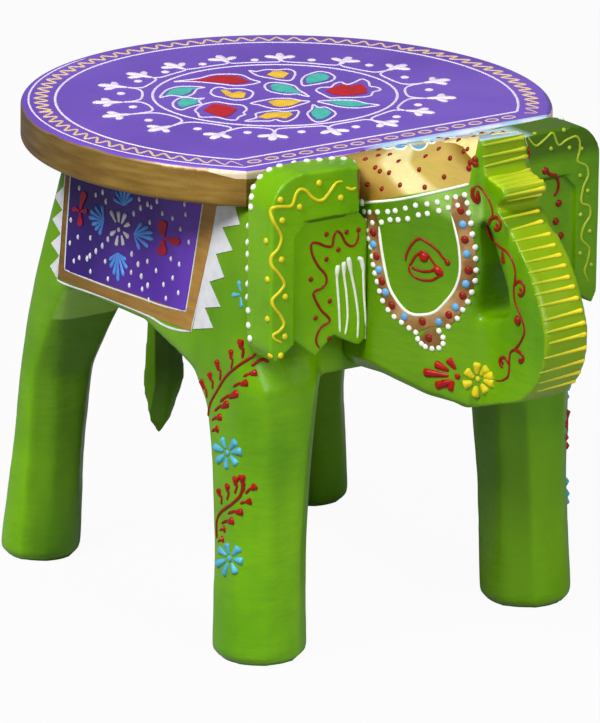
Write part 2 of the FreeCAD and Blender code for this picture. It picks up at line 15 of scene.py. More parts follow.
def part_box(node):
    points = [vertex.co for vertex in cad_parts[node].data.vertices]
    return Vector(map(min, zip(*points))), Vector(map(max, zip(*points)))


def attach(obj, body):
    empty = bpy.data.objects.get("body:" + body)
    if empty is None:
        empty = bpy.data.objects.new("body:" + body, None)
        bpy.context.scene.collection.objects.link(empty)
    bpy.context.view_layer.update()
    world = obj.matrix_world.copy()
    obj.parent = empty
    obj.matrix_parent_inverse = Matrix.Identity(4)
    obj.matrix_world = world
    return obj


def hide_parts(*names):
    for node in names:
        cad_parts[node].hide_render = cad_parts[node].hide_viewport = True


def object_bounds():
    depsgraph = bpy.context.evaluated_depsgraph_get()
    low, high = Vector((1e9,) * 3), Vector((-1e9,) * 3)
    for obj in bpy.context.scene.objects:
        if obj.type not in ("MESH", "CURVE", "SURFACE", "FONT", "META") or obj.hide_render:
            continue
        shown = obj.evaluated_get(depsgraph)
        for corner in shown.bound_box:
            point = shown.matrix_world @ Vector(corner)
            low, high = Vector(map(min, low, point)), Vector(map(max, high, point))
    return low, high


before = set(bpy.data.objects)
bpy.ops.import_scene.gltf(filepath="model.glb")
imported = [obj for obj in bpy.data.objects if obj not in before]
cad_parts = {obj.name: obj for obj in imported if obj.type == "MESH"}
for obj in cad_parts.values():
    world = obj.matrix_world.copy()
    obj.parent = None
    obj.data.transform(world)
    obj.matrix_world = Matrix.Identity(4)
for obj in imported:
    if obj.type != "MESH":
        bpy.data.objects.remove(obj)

cad_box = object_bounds()
print("blocks in the frame:", sorted(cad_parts))

# %% [markdown]
# The frame is in metres. Paint is easier to think about in millimetres, so one value turns
# one into the other. The seat's own box gives its centre, its radius and its top.

# %% Sizes read from the frame
MM = 0.001
seat_low, seat_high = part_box("seat_board")
trunk_low, trunk_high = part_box("trunk_slab")
ear_low, ear_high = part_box("right_ear")
seat_radius = (seat_high.x - seat_low.x) / 2
seat_centre = Vector((0, seat_high.y - seat_radius, seat_high.z))
seat_chord = seat_centre.y - seat_low.y
print("seat radius", round(seat_radius, 4), "centre", tuple(round(c, 4) for c in seat_centre))

# %% [markdown]
# The camera comes first, because the motifs are placed as a painter would place them, on the
# side that the viewer sees. It stands to the animal's right, a little above the seat, far off
# and with a long lens. The same numbers let a later cell send a ray through any pixel of the
# picture and find the wood behind it.

# %% Camera
PICTURE_WIDTH = 600
PICTURE_HEIGHT = 723
SENSOR = 36.0
FOCAL_PIXELS = 7695.8
VIEW_AZIMUTH = math.radians(-35.3)
VIEW_HEIGHT = math.radians(16.84)
VIEW_ROLL = math.radians(0.76)
VIEW_DISTANCE = 4.363
VIEW_TARGET = Vector((-0.0031, 0.0373, 0.1319))

view_back = Vector((
    math.sin(VIEW_AZIMUTH) * math.cos(VIEW_HEIGHT),
    -math.cos(VIEW_AZIMUTH) * math.cos(VIEW_HEIGHT),
    math.sin(VIEW_HEIGHT),
))
level_right = Vector((math.cos(VIEW_AZIMUTH), math.sin(VIEW_AZIMUTH), 0))
level_up = view_back.cross(level_right)
view_right = level_right * math.cos(VIEW_ROLL) + level_up * math.sin(VIEW_ROLL)
view_up = level_up * math.cos(VIEW_ROLL) - level_right * math.sin(VIEW_ROLL)
view_place = VIEW_TARGET + view_back * VIEW_DISTANCE

camera_data = bpy.data.cameras.new("camera")
camera_data.sensor_width = SENSOR
camera_data.lens = FOCAL_PIXELS * SENSOR / PICTURE_HEIGHT
camera_data.clip_end = 50
camera = bpy.data.objects.new("camera", camera_data)
bpy.context.scene.collection.objects.link(camera)
camera.matrix_world = Matrix([
    [view_right.x, view_up.x, view_back.x, view_place.x],
    [view_right.y, view_up.y, view_back.y, view_place.y],
    [view_right.z, view_up.z, view_back.z, view_place.z],
    [0, 0, 0, 1],
])
bpy.context.scene.camera = camera
print("lens", round(camera_data.lens, 1), "mm")

# %% [markdown]
# Every finish is built from shader nodes. A small helper adds a node and sets its sockets,
# so that each material below reads as a recipe. All patterns use Object coordinates, in
# metres, and the pieces lie at the origin, so a pattern runs on from block to block as
# paint does.

# %% Helpers for materials
CHART_FULL = 255
CHART_DARK = 10 / CHART_FULL


def linear(share):
    """The light of one channel, from the share that a paint chart gives."""
    return ((share + 0.055) / 1.055) ** 2.4 if share > CHART_DARK else share / 12.92


def srgb(red, green, blue):
    """A paint colour as a paint chart gives it, from 0 to 255."""
    return tuple(linear(channel / CHART_FULL) for channel in (red, green, blue)) + (1,)


class Recipe:
    """A material under construction: its nodes, its links and its shader."""

    def __init__(self, name, roughness, coat=0.0, metallic=0.0, specular=0.22):
        self.material = bpy.data.materials.new(name)
        self.material.use_nodes = True
        self.tree = self.material.node_tree
        self.shader = self.tree.nodes["Principled BSDF"]
        self.shader.inputs["Roughness"].default_value = roughness
        self.shader.inputs["Coat Weight"].default_value = coat
        self.shader.inputs["Coat Roughness"].default_value = 0.15
        self.shader.inputs["Specular IOR Level"].default_value = specular
        self.shader.inputs["Metallic"].default_value = metallic
        self.place = self.add("ShaderNodeTexCoord").outputs["Object"]

    def add(self, kind, **settings):
        node = self.tree.nodes.new(kind)
        for name, value in settings.items():
            setattr(node, name, value)
        return node

    def join(self, output, socket):
        self.tree.links.new(output, socket)

    def noise(self, scale, detail=3.0, stretch=(1, 1, 1)):
        """A noise whose grain can be drawn out along an axis."""
        mapping = self.add("ShaderNodeMapping")
        mapping.inputs["Scale"].default_value = stretch
        self.join(self.place, mapping.inputs["Vector"])
        noise = self.add("ShaderNodeTexNoise")
        noise.inputs["Scale"].default_value = scale
        noise.inputs["Detail"].default_value = detail
        self.join(mapping.outputs["Vector"], noise.inputs["Vector"])
        return noise.outputs["Fac"]

    def ramp(self, value, *stops):
        """Colours along a value: each stop is a place from 0 to 1 and a colour."""
        ramp = self.add("ShaderNodeValToRGB")
        while len(ramp.color_ramp.elements) < len(stops):
            ramp.color_ramp.elements.new(0.5)
        for element, (place, colour) in zip(ramp.color_ramp.elements, stops):
            element.position = place
            element.color = colour
        self.join(value, ramp.inputs["Fac"])
        return ramp.outputs["Color"]

    def mix(self, share, first, second, how="MIX"):
        """Two colours mixed by a share. Each may be a colour or a node's output."""
        mix = self.add("ShaderNodeMix", data_type="RGBA", blend_type=how)
        for socket, value in ((mix.inputs[0], share), (mix.inputs[6], first), (mix.inputs[7], second)):
            if isinstance(value, (tuple, float, int)):
                socket.default_value = value
            else:
                self.join(value, socket)
        return mix.outputs[2]

    def dim(self, colour, kept):
        """A colour with a share of its light: darker below one, paler above."""
        if isinstance(kept, float):
            kept = (kept, kept, kept, 1)
        return self.mix(1.0, colour, kept, "MULTIPLY")

    def math(self, operation, first, second=0.0):
        node = self.add("ShaderNodeMath", operation=operation)
        for socket, value in zip(node.inputs, (first, second)):
            if isinstance(value, (float, int)):
                socket.default_value = value
            else:
                self.join(value, socket)
        return node.outputs[0]

    def times(self, first, *others):
        """Values multiplied one after another."""
        for other in others:
            first = self.math("MULTIPLY", first, other)
        return first

    def plus(self, first, second):
        return self.math("ADD", first, second)

    def minus(self, first, second):
        return self.math("SUBTRACT", first, second)

    def squared(self, value, middle):
        """The square of a value's distance from a middle."""
        return self.math("POWER", self.minus(value, middle), 2)

    def between(self, value, low, high, start=0.0, end=1.0):
        """A value carried from one range to another, and held at its ends."""
        node = self.add("ShaderNodeMapRange")
        for name, number in (("From Min", low), ("From Max", high), ("To Min", start), ("To Max", end)):
            node.inputs[name].default_value = number
        self.join(value, node.inputs["Value"])
        return node.outputs["Result"]

    def axes(self):
        split = self.add("ShaderNodeSeparateXYZ")
        self.join(self.place, split.inputs["Vector"])
        return split.outputs["X"], split.outputs["Y"], split.outputs["Z"]

    def facing(self):
        """The three parts of the surface's normal."""
        geometry = self.add("ShaderNodeNewGeometry")
        split = self.add("ShaderNodeSeparateXYZ")
        self.join(geometry.outputs["Normal"], split.inputs["Vector"])
        return split.outputs

    def colour(self, output):
        self.join(output, self.shader.inputs["Base Color"])

    def roughness(self, output):
        self.join(output, self.shader.inputs["Roughness"])

    def bump(self, height, depth):
        """Small relief whose full height is a depth in metres."""
        bump = self.add("ShaderNodeBump")
        bump.inputs["Distance"].default_value = depth
        self.join(height, bump.inputs["Height"])
        self.join(bump.outputs["Normal"], self.shader.inputs["Normal"])


# %% [markdown]
# The green lacquer is brushed on in two or three coats over carved wood. It is glossy, its
# green is yellower where it is thin and darker where it is thick, and brush strokes and
# the last marks of the file show under the gloss. Four noises do that: a wide one for the
# thickness, a long fine one for the brush, and two more for file marks and shallow dents.
# The body, the left ear and the tail have lacquers of their own, with painted shade where shade falls on
# them; the body's also has a painted sheen.

# %% Green lacquer
GREEN_THIN = srgb(116, 170, 0)
GREEN_BODY = srgb(102, 158, 0)
GREEN_THICK = srgb(82, 138, 0)
PAINTED_SHEEN_GREEN = srgb(150, 190, 84)
EDGE_ICE = srgb(176, 204, 208)
LACQUER_ROUGHNESS = 0.32
LACQUER_COAT = 0.1
LACQUER_RELIEF = 0.55 * MM


def start_lacquer(name):
    """A lacquer's recipe, its green, and the brush noise that gloss and relief share."""
    recipe = Recipe(name, LACQUER_ROUGHNESS, coat=LACQUER_COAT)
    thickness = recipe.noise(11, 5)
    brush = recipe.noise(70, 5, stretch=(1, 1, 0.1))
    green = recipe.ramp(thickness, (0.34, GREEN_THICK), (0.48, GREEN_BODY), (0.68, GREEN_THIN))
    streaks = recipe.ramp(brush, (0.35, GREEN_THICK), (0.65, GREEN_THIN))
    return recipe, recipe.mix(0.16, green, streaks), brush


def lacquered(recipe, colour, brush):
    """The finished material: its colour, and the gloss and relief of lacquer over filed wood."""
    recipe.colour(colour)
    recipe.roughness(recipe.between(brush, 0.3, 0.7, 0.24, 0.4))
    file_marks = recipe.noise(120, 4, stretch=(0.5, 0.5, 1.6))
    dents = recipe.noise(38, 2, stretch=(1, 1, 0.6))
    fine = recipe.plus(recipe.times(brush, 0.7), file_marks)
    recipe.bump(recipe.plus(fine, recipe.times(dents, 2.4)), LACQUER_RELIEF)
    return recipe.material


def green_lacquer(name, kept):
    """Plain green lacquer, of which a share of the light is kept."""
    recipe, green, brush = start_lacquer(name)
    return lacquered(recipe, recipe.dim(green, kept), brush)


LEFT_EAR_INNER = (58 * MM, 66 * MM)
LEFT_EAR_SHADE_HEIGHTS = (265 * MM, 272 * MM)


def left_ear_lacquer():
    """Green lacquer with painted shade: darker all over, and darker still along the ear's top under the
    seat, with pale blue paint on its top at the inner end.
    """
    recipe, green, brush = start_lacquer("left_ear_lacquer")
    across, _, height = recipe.axes()
    # Painted shade: the far ear is darker, most of all along its top under the seat.
    green = recipe.dim(green, recipe.between(height, *LEFT_EAR_SHADE_HEIGHTS, 0.8, 0.36))
    upwards = recipe.between(recipe.facing()["Z"], 0.4, 0.7)
    inner_end = recipe.between(across, *LEFT_EAR_INNER, 0.9, 0.0)
    return lacquered(recipe, recipe.mix(recipe.times(upwards, inner_end), green, EDGE_ICE), brush)


FLANK_SHADE = (30 * MM, 235 * MM)
REAR_LEG_FRONT = (60 * MM, 90 * MM)
ARCH_EDGE = (150.5 * MM, 151.5 * MM)
FAR_SIDE = 60 * MM


def body_lacquer():
    """Green lacquer with painted shade under the seat, between the legs, on the far side and on the legs'
    inner faces, and a painted sheen above the rear arch.
    """
    recipe, green, brush = start_lacquer("body_lacquer")
    across, along, height = recipe.axes()
    # Painted shade: darker towards the seat, whose overhang shades the upper body, and lighter at the feet.
    green = recipe.dim(green, recipe.between(height, *FLANK_SHADE, 1.14, 0.8))
    facing = recipe.facing()
    # Painted shade: the front faces of the rear legs, below the arch, lie in the shade of the body and
    # front legs.
    forwards = recipe.between(facing["Y"], -0.75, -0.35, 1.0, 0.0)
    inner = recipe.times(forwards, recipe.between(along, *REAR_LEG_FRONT))
    under_arch = recipe.between(height, *ARCH_EDGE, 1.0, 0.0)
    shade_between_legs = recipe.times(inner, under_arch)
    green = recipe.dim(green, recipe.between(shade_between_legs, 0.0, 1.0, 1.0, 0.62))
    # Painted sheen: pale grey-green over the front faces above the arch.
    filed = recipe.times(inner, recipe.minus(1.0, under_arch))
    green = recipe.mix(recipe.times(filed, 0.75), green, PAINTED_SHEEN_GREEN)
    # Painted shade: the legs of the far side, and then the legs' inner faces, are darker.
    green = recipe.dim(green, recipe.between(across, 0, FAR_SIDE, 1.0, 0.86))
    outwards = recipe.times(recipe.math("SIGN", across), facing["X"])
    green = recipe.dim(green, recipe.between(outwards, -0.6, -0.3, 0.8, 1.0))
    return lacquered(recipe, green, brush)


TAIL_RIDGE = (-8.9 * MM, -7.9 * MM)
TAIL_SHADE = (66 * MM, 96 * MM)


def tail_lacquer():
    """Green lacquer with painted light and shade: on the tail's front a lit side and a shaded side meet at
    a ridge, the shaded side darkens higher up under the body, and the other faces are a little darker.
    """
    recipe, green, brush = start_lacquer("tail_lacquer")
    across, _, height = recipe.axes()
    front = recipe.between(recipe.facing()["Y"], -0.6, -0.2, 1.0, 0.0)
    # Painted shade: higher up, under the body, the tail is darker.
    darker = recipe.dim(green, recipe.between(height, *TAIL_SHADE, 0.8, 0.34))
    # Painted light and shade: the front is lighter on one side of the ridge and darker on the other.
    lit_and_shaded_front = recipe.mix(recipe.between(across, *TAIL_RIDGE), recipe.dim(green, 1.45), darker)
    return lacquered(recipe, recipe.mix(front, recipe.dim(green, 0.9), lit_and_shaded_front), brush)


ear_green = green_lacquer("ear_lacquer", 1.04)
# A dark copy of the green lacquer, for the painted shadow along the ear's notch.
notch_shadow_green = green_lacquer("notch_shadow_lacquer", 0.42)
left_ear_green = left_ear_lacquer()
tail_green = tail_lacquer()
body_green = body_lacquer()
print("made five green lacquers")

# %% [markdown]
# The seat's top is violet lacquer and its rim is dull gold paint. Both are on one board, so
# one material tells them apart by height: the gold reaches the top of the rounded edge,
# and a noise makes the painter's line waver a little. Gold paint is metal flake in varnish,
# brushed along the rim, so its streaks are long and level. Hands have worn the edge to
# cream at the front and at the two corners. The straight edge has a strip of pale blue.

# %% Violet seat with a gold rim
VIOLET = srgb(108, 76, 180)
VIOLET_DEEP = srgb(98, 66, 168)
VIOLET_PALE = srgb(118, 88, 190)
GOLD = srgb(132, 102, 40)
GOLD_DARK = srgb(108, 78, 30)
GOLD_PALE = srgb(152, 124, 58)
WORN_EDGE = srgb(222, 200, 170)
SEAT_CORNER = (math.sqrt(seat_radius ** 2 - seat_chord ** 2), seat_low.y)
GOLD_RELIEF = 0.15 * MM


def gold_streaks(recipe, scale):
    """Brushed gold paint: level streaks, darker clouds and fine flakes."""
    streaks = recipe.noise(scale, 6, stretch=(0.5, 0.5, 4.0))
    clouds = recipe.noise(18, 3)
    flakes = recipe.noise(900, 2)
    gold = recipe.ramp(streaks, (0.3, GOLD_DARK), (0.5, GOLD), (0.72, GOLD_PALE))
    gold = recipe.mix(recipe.between(clouds, 0.4, 0.65, 0.0, 0.4), gold, GOLD_DARK)
    gold = recipe.mix(recipe.between(flakes, 0.58, 0.7, 0.0, 0.35), gold, GOLD_PALE)
    return gold, streaks


# The pairs below are depths under the seat's top, or distances, where a tone starts and ends.
ICE_BLUE = srgb(158, 192, 218)
ICE_WHITE = srgb(206, 212, 226)
RIM_REACH = 100 * MM
RIM_WAVER = 0.5 * MM
VIOLET_DEPTHS = (1.4 * MM, 1.0 * MM)
WORN_DEPTHS = (2.4 * MM, 2.0 * MM)
KNOCKED_REACH = (6 * MM, 26 * MM)
KNOCKED_DEPTH = 3.4 * MM
CORNER_REACH = (12 * MM, 30 * MM)
HANDLED_REACH = (-30 * MM, 10 * MM)
ICE_INSET = (5.0 * MM, 5.6 * MM)
ICE_START = (-24 * MM, -10 * MM)
ICE_DEPTHS = (6 * MM, 4.5 * MM)


def seat_paint():
    recipe = Recipe("seat_paint", 0.4, coat=0.08, specular=0.2)
    across, along, height = recipe.axes()

    def above(level, depths):
        """A mask that starts at one depth under the seat's top and is full at the other."""
        return recipe.between(level, *(seat_centre.z - depth for depth in depths))

    violet = recipe.ramp(recipe.noise(9, 3), (0.3, VIOLET_DEEP), (0.5, VIOLET), (0.75, VIOLET_PALE))
    gold, streaks = gold_streaks(recipe, 60)
    # Painted shade: the rim's gold is lighter at the front and darker towards the rear.
    shade = recipe.between(along, seat_centre.y - RIM_REACH, seat_centre.y + RIM_REACH, 1.15, 0.3)
    gold = recipe.dim(gold, shade)
    waver = recipe.between(recipe.noise(40, 2), 0.3, 0.7, -RIM_WAVER, RIM_WAVER)
    edge = recipe.plus(height, waver)
    on_top = above(edge, VIOLET_DEPTHS)

    to_side = recipe.squared(recipe.math("ABSOLUTE", across), SEAT_CORNER[0])
    from_corner = recipe.math("SQRT", recipe.plus(to_side, recipe.squared(along, SEAT_CORNER[1])))
    knocked = recipe.between(from_corner, *KNOCKED_REACH, KNOCKED_DEPTH, 0.0)
    worn = above(recipe.plus(edge, knocked), WORN_DEPTHS)
    patchy = recipe.between(recipe.noise(30, 4), 0.42, 0.55, 0.35, 0.95)
    patchy = recipe.math("MAXIMUM", patchy, recipe.between(from_corner, *CORNER_REACH, 1.0, 0.0))
    handled = recipe.between(along, *HANDLED_REACH, 1.0, 0.12)
    rim = recipe.mix(recipe.times(worn, recipe.times(patchy, handled)), gold, WORN_EDGE)

    pale = recipe.ramp(recipe.noise(60, 3), (0.4, ICE_BLUE), (0.6, ICE_WHITE))
    at_edge = recipe.between(along, *(seat_low.y + inset for inset in ICE_INSET), 1.0, 0.0)
    at_edge = recipe.times(at_edge, recipe.between(across, *ICE_START), above(height, ICE_DEPTHS))
    recipe.colour(recipe.mix(at_edge, recipe.mix(on_top, rim, violet), pale))
    recipe.join(recipe.between(on_top, 0, 1, 0.12, 0.0), recipe.shader.inputs["Metallic"])
    recipe.roughness(recipe.between(on_top, 0, 1, 0.45, 0.4))
    recipe.bump(recipe.plus(streaks, recipe.noise(200, 2)), GOLD_RELIEF)
    return recipe.material


seat_material = seat_paint()
print("made", seat_material.name)

# %% [markdown]
# The dowels inside the joints are bare turned beech. Nobody sees them until the stool is
# taken apart, so they get a wood grain: a noise drawn out along one axis.

# %% Bare beech
GRAIN_RELIEF = 0.1 * MM


def bare_beech():
    recipe = Recipe("bare_beech", 0.6)
    grain = recipe.noise(120, 4, stretch=(1, 1, 0.1))
    recipe.colour(recipe.ramp(grain, (0.3, srgb(176, 132, 88)), (0.7, srgb(214, 178, 134))))
    recipe.bump(grain, GRAIN_RELIEF)
    return recipe.material


beech = bare_beech()


def dress(piece, material):
    """Give a finished piece its material."""
    piece.data.materials.clear()
    piece.data.materials.append(material)


for name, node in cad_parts.items():
    if "dowel" in name:
        dress(node, beech)
dress(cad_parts["seat_board"], seat_material)
print("dressed the seat board and the dowels")

# %% [markdown]
# The carved body is soft-edged: the carver rounds every corner with a rasp, and the joins
# between blocks disappear under filler and lacquer. In Blender the blocks are copied,
# joined and given one skin with a voxel remesh, which closes the joins. A smooth modifier
# then takes the edges down, and a displacement adds the rasp's slow waves.

# %% One skin over several blocks
def only(piece):
    """Select one object and make it active."""
    bpy.ops.object.select_all(action="DESELECT")
    piece.select_set(True)
    bpy.context.view_layer.objects.active = piece


def finish_modifier(piece, kind, **settings):
    """Add a modifier, set it and apply it."""
    only(piece)
    modifier = piece.modifiers.new(kind.lower(), kind)
    for name, value in settings.items():
        setattr(modifier, name, value)
    bpy.ops.object.modifier_apply(modifier=modifier.name)


def edit(piece, *steps, chosen=None):
    """Run edit-mode steps on a whole piece, or on the vertices that a test chooses."""
    only(piece)
    bpy.ops.object.mode_set(mode="EDIT")
    bpy.ops.mesh.select_all(action="DESELECT" if chosen else "SELECT")
    if chosen:
        bpy.ops.object.mode_set(mode="OBJECT")
        for vertex in piece.data.vertices:
            vertex.select = chosen(vertex.co)
        bpy.ops.object.mode_set(mode="EDIT")
    for step, settings in steps:
        step(**settings)
    bpy.ops.object.mode_set(mode="OBJECT")


FLOOR_SNAP = 1.5 * MM
WELD = 0.01 * MM
SMOOTHING = 0.6
WAVE_SCALE = 0.035
EVEN_LEVEL = 0.5


def carve(name, blocks, lacquer, voxel, rounding, waves, inset):
    """Copy blocks of the frame, join them under one skin, soften it and take a little off."""
    bpy.ops.object.select_all(action="DESELECT")
    for block in blocks:
        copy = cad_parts[block].copy()
        copy.data = copy.data.copy()
        copy.parent = None
        for key in list(copy.keys()):
            del copy[key]
        bpy.context.scene.collection.objects.link(copy)
        copy.select_set(True)
        bpy.context.view_layer.objects.active = copy
    if len(blocks) > 1:
        bpy.ops.object.join()
    piece = bpy.context.view_layer.objects.active
    piece.name = name
    edit(piece, (bpy.ops.mesh.remove_doubles, {"threshold": WELD}))
    finish_modifier(piece, "REMESH", mode="VOXEL", voxel_size=voxel)
    finish_modifier(piece, "SMOOTH", factor=SMOOTHING, iterations=rounding)
    cloud = bpy.data.textures.new(name + "_waves", "CLOUDS")
    cloud.noise_scale = WAVE_SCALE
    level = EVEN_LEVEL + inset / waves
    finish_modifier(
        piece, "DISPLACE", texture=cloud, texture_coords="GLOBAL", strength=waves, mid_level=level,
    )
    for vertex in piece.data.vertices:
        if vertex.co.z < FLOOR_SNAP:
            vertex.co.z = 0
    only(piece)
    bpy.ops.object.shade_smooth()
    dress(piece, lacquer)
    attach(piece, "root")
    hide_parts(*blocks)
    print(name, "has", len(piece.data.polygons), "faces")
    return piece


BODY_BLOCKS = ["right_flank", "left_flank", "belly_block"]
HEAD_BLOCKS = ["trunk_slab", "right_cheek", "left_cheek"]
# Each: blocks, lacquer, voxel size, smoothing passes, height of the waves, loss all round.
CARVINGS = {
    "carved_body": (BODY_BLOCKS, body_green, 2.3 * MM, 12, 0.9 * MM, 0.1 * MM),
    "carved_head": (HEAD_BLOCKS, body_green, 1.5 * MM, 7, 0.7 * MM, 0.5 * MM),
    "carved_right_ear": (["right_ear"], ear_green, 1.1 * MM, 8, 0.4 * MM, 0.1 * MM),
    "carved_left_ear": (["left_ear"], left_ear_green, 1.1 * MM, 8, 0.4 * MM, 0.1 * MM),
    "carved_tail": (["tail"], tail_green, 1.2 * MM, 14, 0.2 * MM, 0.1 * MM),
}
body, head, right_ear, left_ear, tail = (carve(name, *how) for name, how in CARVINGS.items())

# %% [markdown]
# The legs are eight-sided down to the feet. There the rasp turned the corners into an oval
# and took the bottom edge off. For each foot, the widest reach of the wood in every
# direction is measured, and the corners are drawn in towards the oval that fits the sides.

# %% Rounded feet
FOOT_TOP = 45 * MM
MEASURED_LOW = 8 * MM
MEASURED_HIGH = 20 * MM
BOTTOM_EDGE = 6 * MM
EDGE_LOSS = 0.06
FOOT_GAIN = 1.07
FOOT_CURVE = 0.6
DIRECTIONS = 40


def round_foot(corners):
    """Draw one foot's corners in towards an oval."""
    side = [v.co for v in corners if MEASURED_LOW < v.co.z < MEASURED_HIGH]
    across = [place.x for place in side]
    along = [place.y for place in side]
    middle = Vector(((min(across) + max(across)) / 2, (min(along) + max(along)) / 2))
    half = Vector(((max(across) - min(across)) / 2, (max(along) - min(along)) / 2))

    def polar(place):
        x = (place.x - middle.x) / half.x
        y = (place.y - middle.y) / half.y
        return math.hypot(x, y), math.atan2(y, x) / math.tau * DIRECTIONS % DIRECTIONS

    reaches = [0.0] * DIRECTIONS
    for place in side:
        reach, turn = polar(place)
        reaches[round(turn) % DIRECTIONS] = max(reaches[round(turn) % DIRECTIONS], reach)
    for vertex in corners:
        place = vertex.co
        turn = polar(place)[1]
        first = math.floor(turn)
        past = turn - first
        edge = reaches[first % DIRECTIONS] * (1 - past) + reaches[(first + 1) % DIRECTIONS] * past
        low = (1 - place.z / FOOT_TOP) ** FOOT_CURVE
        scale = 1 + (FOOT_GAIN / edge - 1) * low
        scale *= 1 - EDGE_LOSS * max(0.0, 1 - place.z / BOTTOM_EDGE) ** 2
        place.x = middle.x + (place.x - middle.x) * scale
        place.y = middle.y + (place.y - middle.y) * scale


flank_low, flank_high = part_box("right_flank")
leg_split = (flank_low.y + flank_high.y) / 2
low_corners = [vertex for vertex in body.data.vertices if vertex.co.z < FOOT_TOP]
for side in (-1, 1):
    for end in (-1, 1):
        round_foot([
            vertex for vertex in low_corners
            if vertex.co.x * side > 0 and (vertex.co.y - leg_split) * end > 0
        ])
print("rounded four feet")

# %% [markdown]
# Cone paint is squeezed from a paper cone, as icing is. It leaves three marks: a cord of even
# width, a drop that starts thin and ends in a blob, and a round bead. A cord or drop is a
# curve with a round section and a radius at each point, turned into a mesh. A bead is one
# low sphere, flattened, copied to every spot. The lower part of each mark sinks into the
# lacquer. A flat patch of paint is an outline, filled, divided and laid on the wood.

# %% The painter's eye: a spot of the picture found on the wood
def skin(*pieces):
    """One search tree over the faces of finished pieces."""
    corners = []
    faces = []
    for piece in pieces:
        start = len(corners)
        corners += [vertex.co.copy() for vertex in piece.data.vertices]
        faces += [[start + index for index in face.vertices] for face in piece.data.polygons]
    return BVHTree.FromPolygons(corners, faces)


def sight(across, down):
    """The direction in which the camera sees a pixel of the picture."""
    right = (across - PICTURE_WIDTH / 2) / FOCAL_PIXELS
    up = (PICTURE_HEIGHT / 2 - down) / FOCAL_PIXELS
    return (view_right * right + view_up * up - view_back).normalized()


NEAR_MISS = 5 * MM
NEAREST_TRIES = 6


def by_eye(tree):
    """A function that finds the place and the normal of the wood behind a pixel."""
    def find(across, down):
        direction = sight(across, down)
        place, normal, _, _ = tree.ray_cast(view_place, direction)
        if place is not None:
            return place, normal
        depth = VIEW_DISTANCE
        for _ in range(NEAREST_TRIES):
            along = view_place + direction * depth
            place, normal, _, miss = tree.find_nearest(along)
            depth = (place - view_place).dot(direction)
        return (place, normal) if miss < NEAR_MISS else None
    return find


def on_seat_by_eye(across, down):
    """The spot of the seat's flat top behind a pixel."""
    direction = sight(across, down)
    reach = (seat_centre.z - view_place.z) / direction.z
    return view_place + direction * reach, Vector((0, 0, 1))


print("seat's middle by eye:", tuple(round(c, 4) for c in on_seat_by_eye(287, 95)[0]))

# %% A smooth hand movement through a few pixels
SAMPLE_STEP = 2.2


def flow(pixels, closed=False, step=SAMPLE_STEP):
    """Points along a smooth line through the given pixels, about a step apart."""
    count = len(pixels)
    if count < 3:
        closed = False
    result = []
    spans = count if closed else count - 1
    for index in range(spans):
        if closed:
            four = [pixels[(index + shift) % count] for shift in (-1, 0, 1, 2)]
        else:
            four = [pixels[min(max(index + shift, 0), count - 1)] for shift in (-1, 0, 1, 2)]
        before, start, end, after = (Vector(pixel) for pixel in four)
        parts = max(1, round((end - start).length / step))
        for part in range(parts):
            t = part / parts
            result.append((
                start * 2 + (end - before) * t
                + (before * 2 - start * 5 + end * 4 - after) * t ** 2
                + (start * 3 - before - end * 3 + after) * t ** 3
            ) / 2)
    result.append(Vector(pixels[0] if closed else pixels[-1]))
    return result


CORD = ((0.0, 0.45), (0.05, 1.0), (0.95, 1.0), (1.0, 0.45))
RING = ((0.0, 1.0), (1.0, 1.0))
DROP = ((0.0, 0.25), (0.45, 0.62), (0.8, 1.0), (0.93, 0.9), (1.0, 0.4))
PETAL = ((0.0, 0.35), (0.35, 0.65), (0.7, 0.95), (0.9, 1.0), (1.0, 0.6))
OVAL = ((0.0, 0.35), (0.25, 0.9), (0.5, 1.0), (0.75, 0.9), (1.0, 0.35))
BLOB = ((0.0, 0.38), (0.35, 0.7), (0.65, 1.0), (0.88, 0.9), (1.0, 0.4))
STREAK = ((0.0, 0.6), (0.04, 1.0), (0.12, 0.95), (0.2, 0.55), (0.95, 0.45), (1.0, 0.3))


def width_at(shape, share):
    """The width of a mark at a share of its length, as a share of its full width."""
    for (start, first), (end, second) in zip(shape, shape[1:]):
        if share <= end:
            return first + (second - first) * (share - start) / (end - start)
    return shape[-1][1]


# %% One bead, modelled once
bpy.ops.object.select_all(action="DESELECT")
bpy.ops.mesh.primitive_uv_sphere_add(segments=8, ring_count=5, radius=1)
bead = bpy.context.object
bead_corners = [vertex.co.copy() for vertex in bead.data.vertices]
bead_faces = [list(face.vertices) for face in bead.data.polygons]
bpy.data.objects.remove(bead)
BEAD_HEIGHT = 0.6
ROUND_ANGLE = math.radians(65)
SUNK_SHARE = 0.3
PATCH_LIFT = 0.25 * MM
PATCH_THICKNESS = 0.3 * MM
MIRRORED = (True, False, False)
print("a bead has", len(bead_faces), "faces")


# %% The marks of one colour become one piece
def close_sheet(sheet, thickness, offset, both_sides):
    """Copy a sheet to the other side if it is on both, make it solid and turn it outwards."""
    if both_sides:
        finish_modifier(sheet, "MIRROR", use_axis=MIRRORED, use_mirror_merge=False)
    finish_modifier(sheet, "SOLIDIFY", thickness=thickness, offset=offset)
    edit(sheet, (bpy.ops.mesh.normals_make_consistent, {"inside": False}))
    return sheet


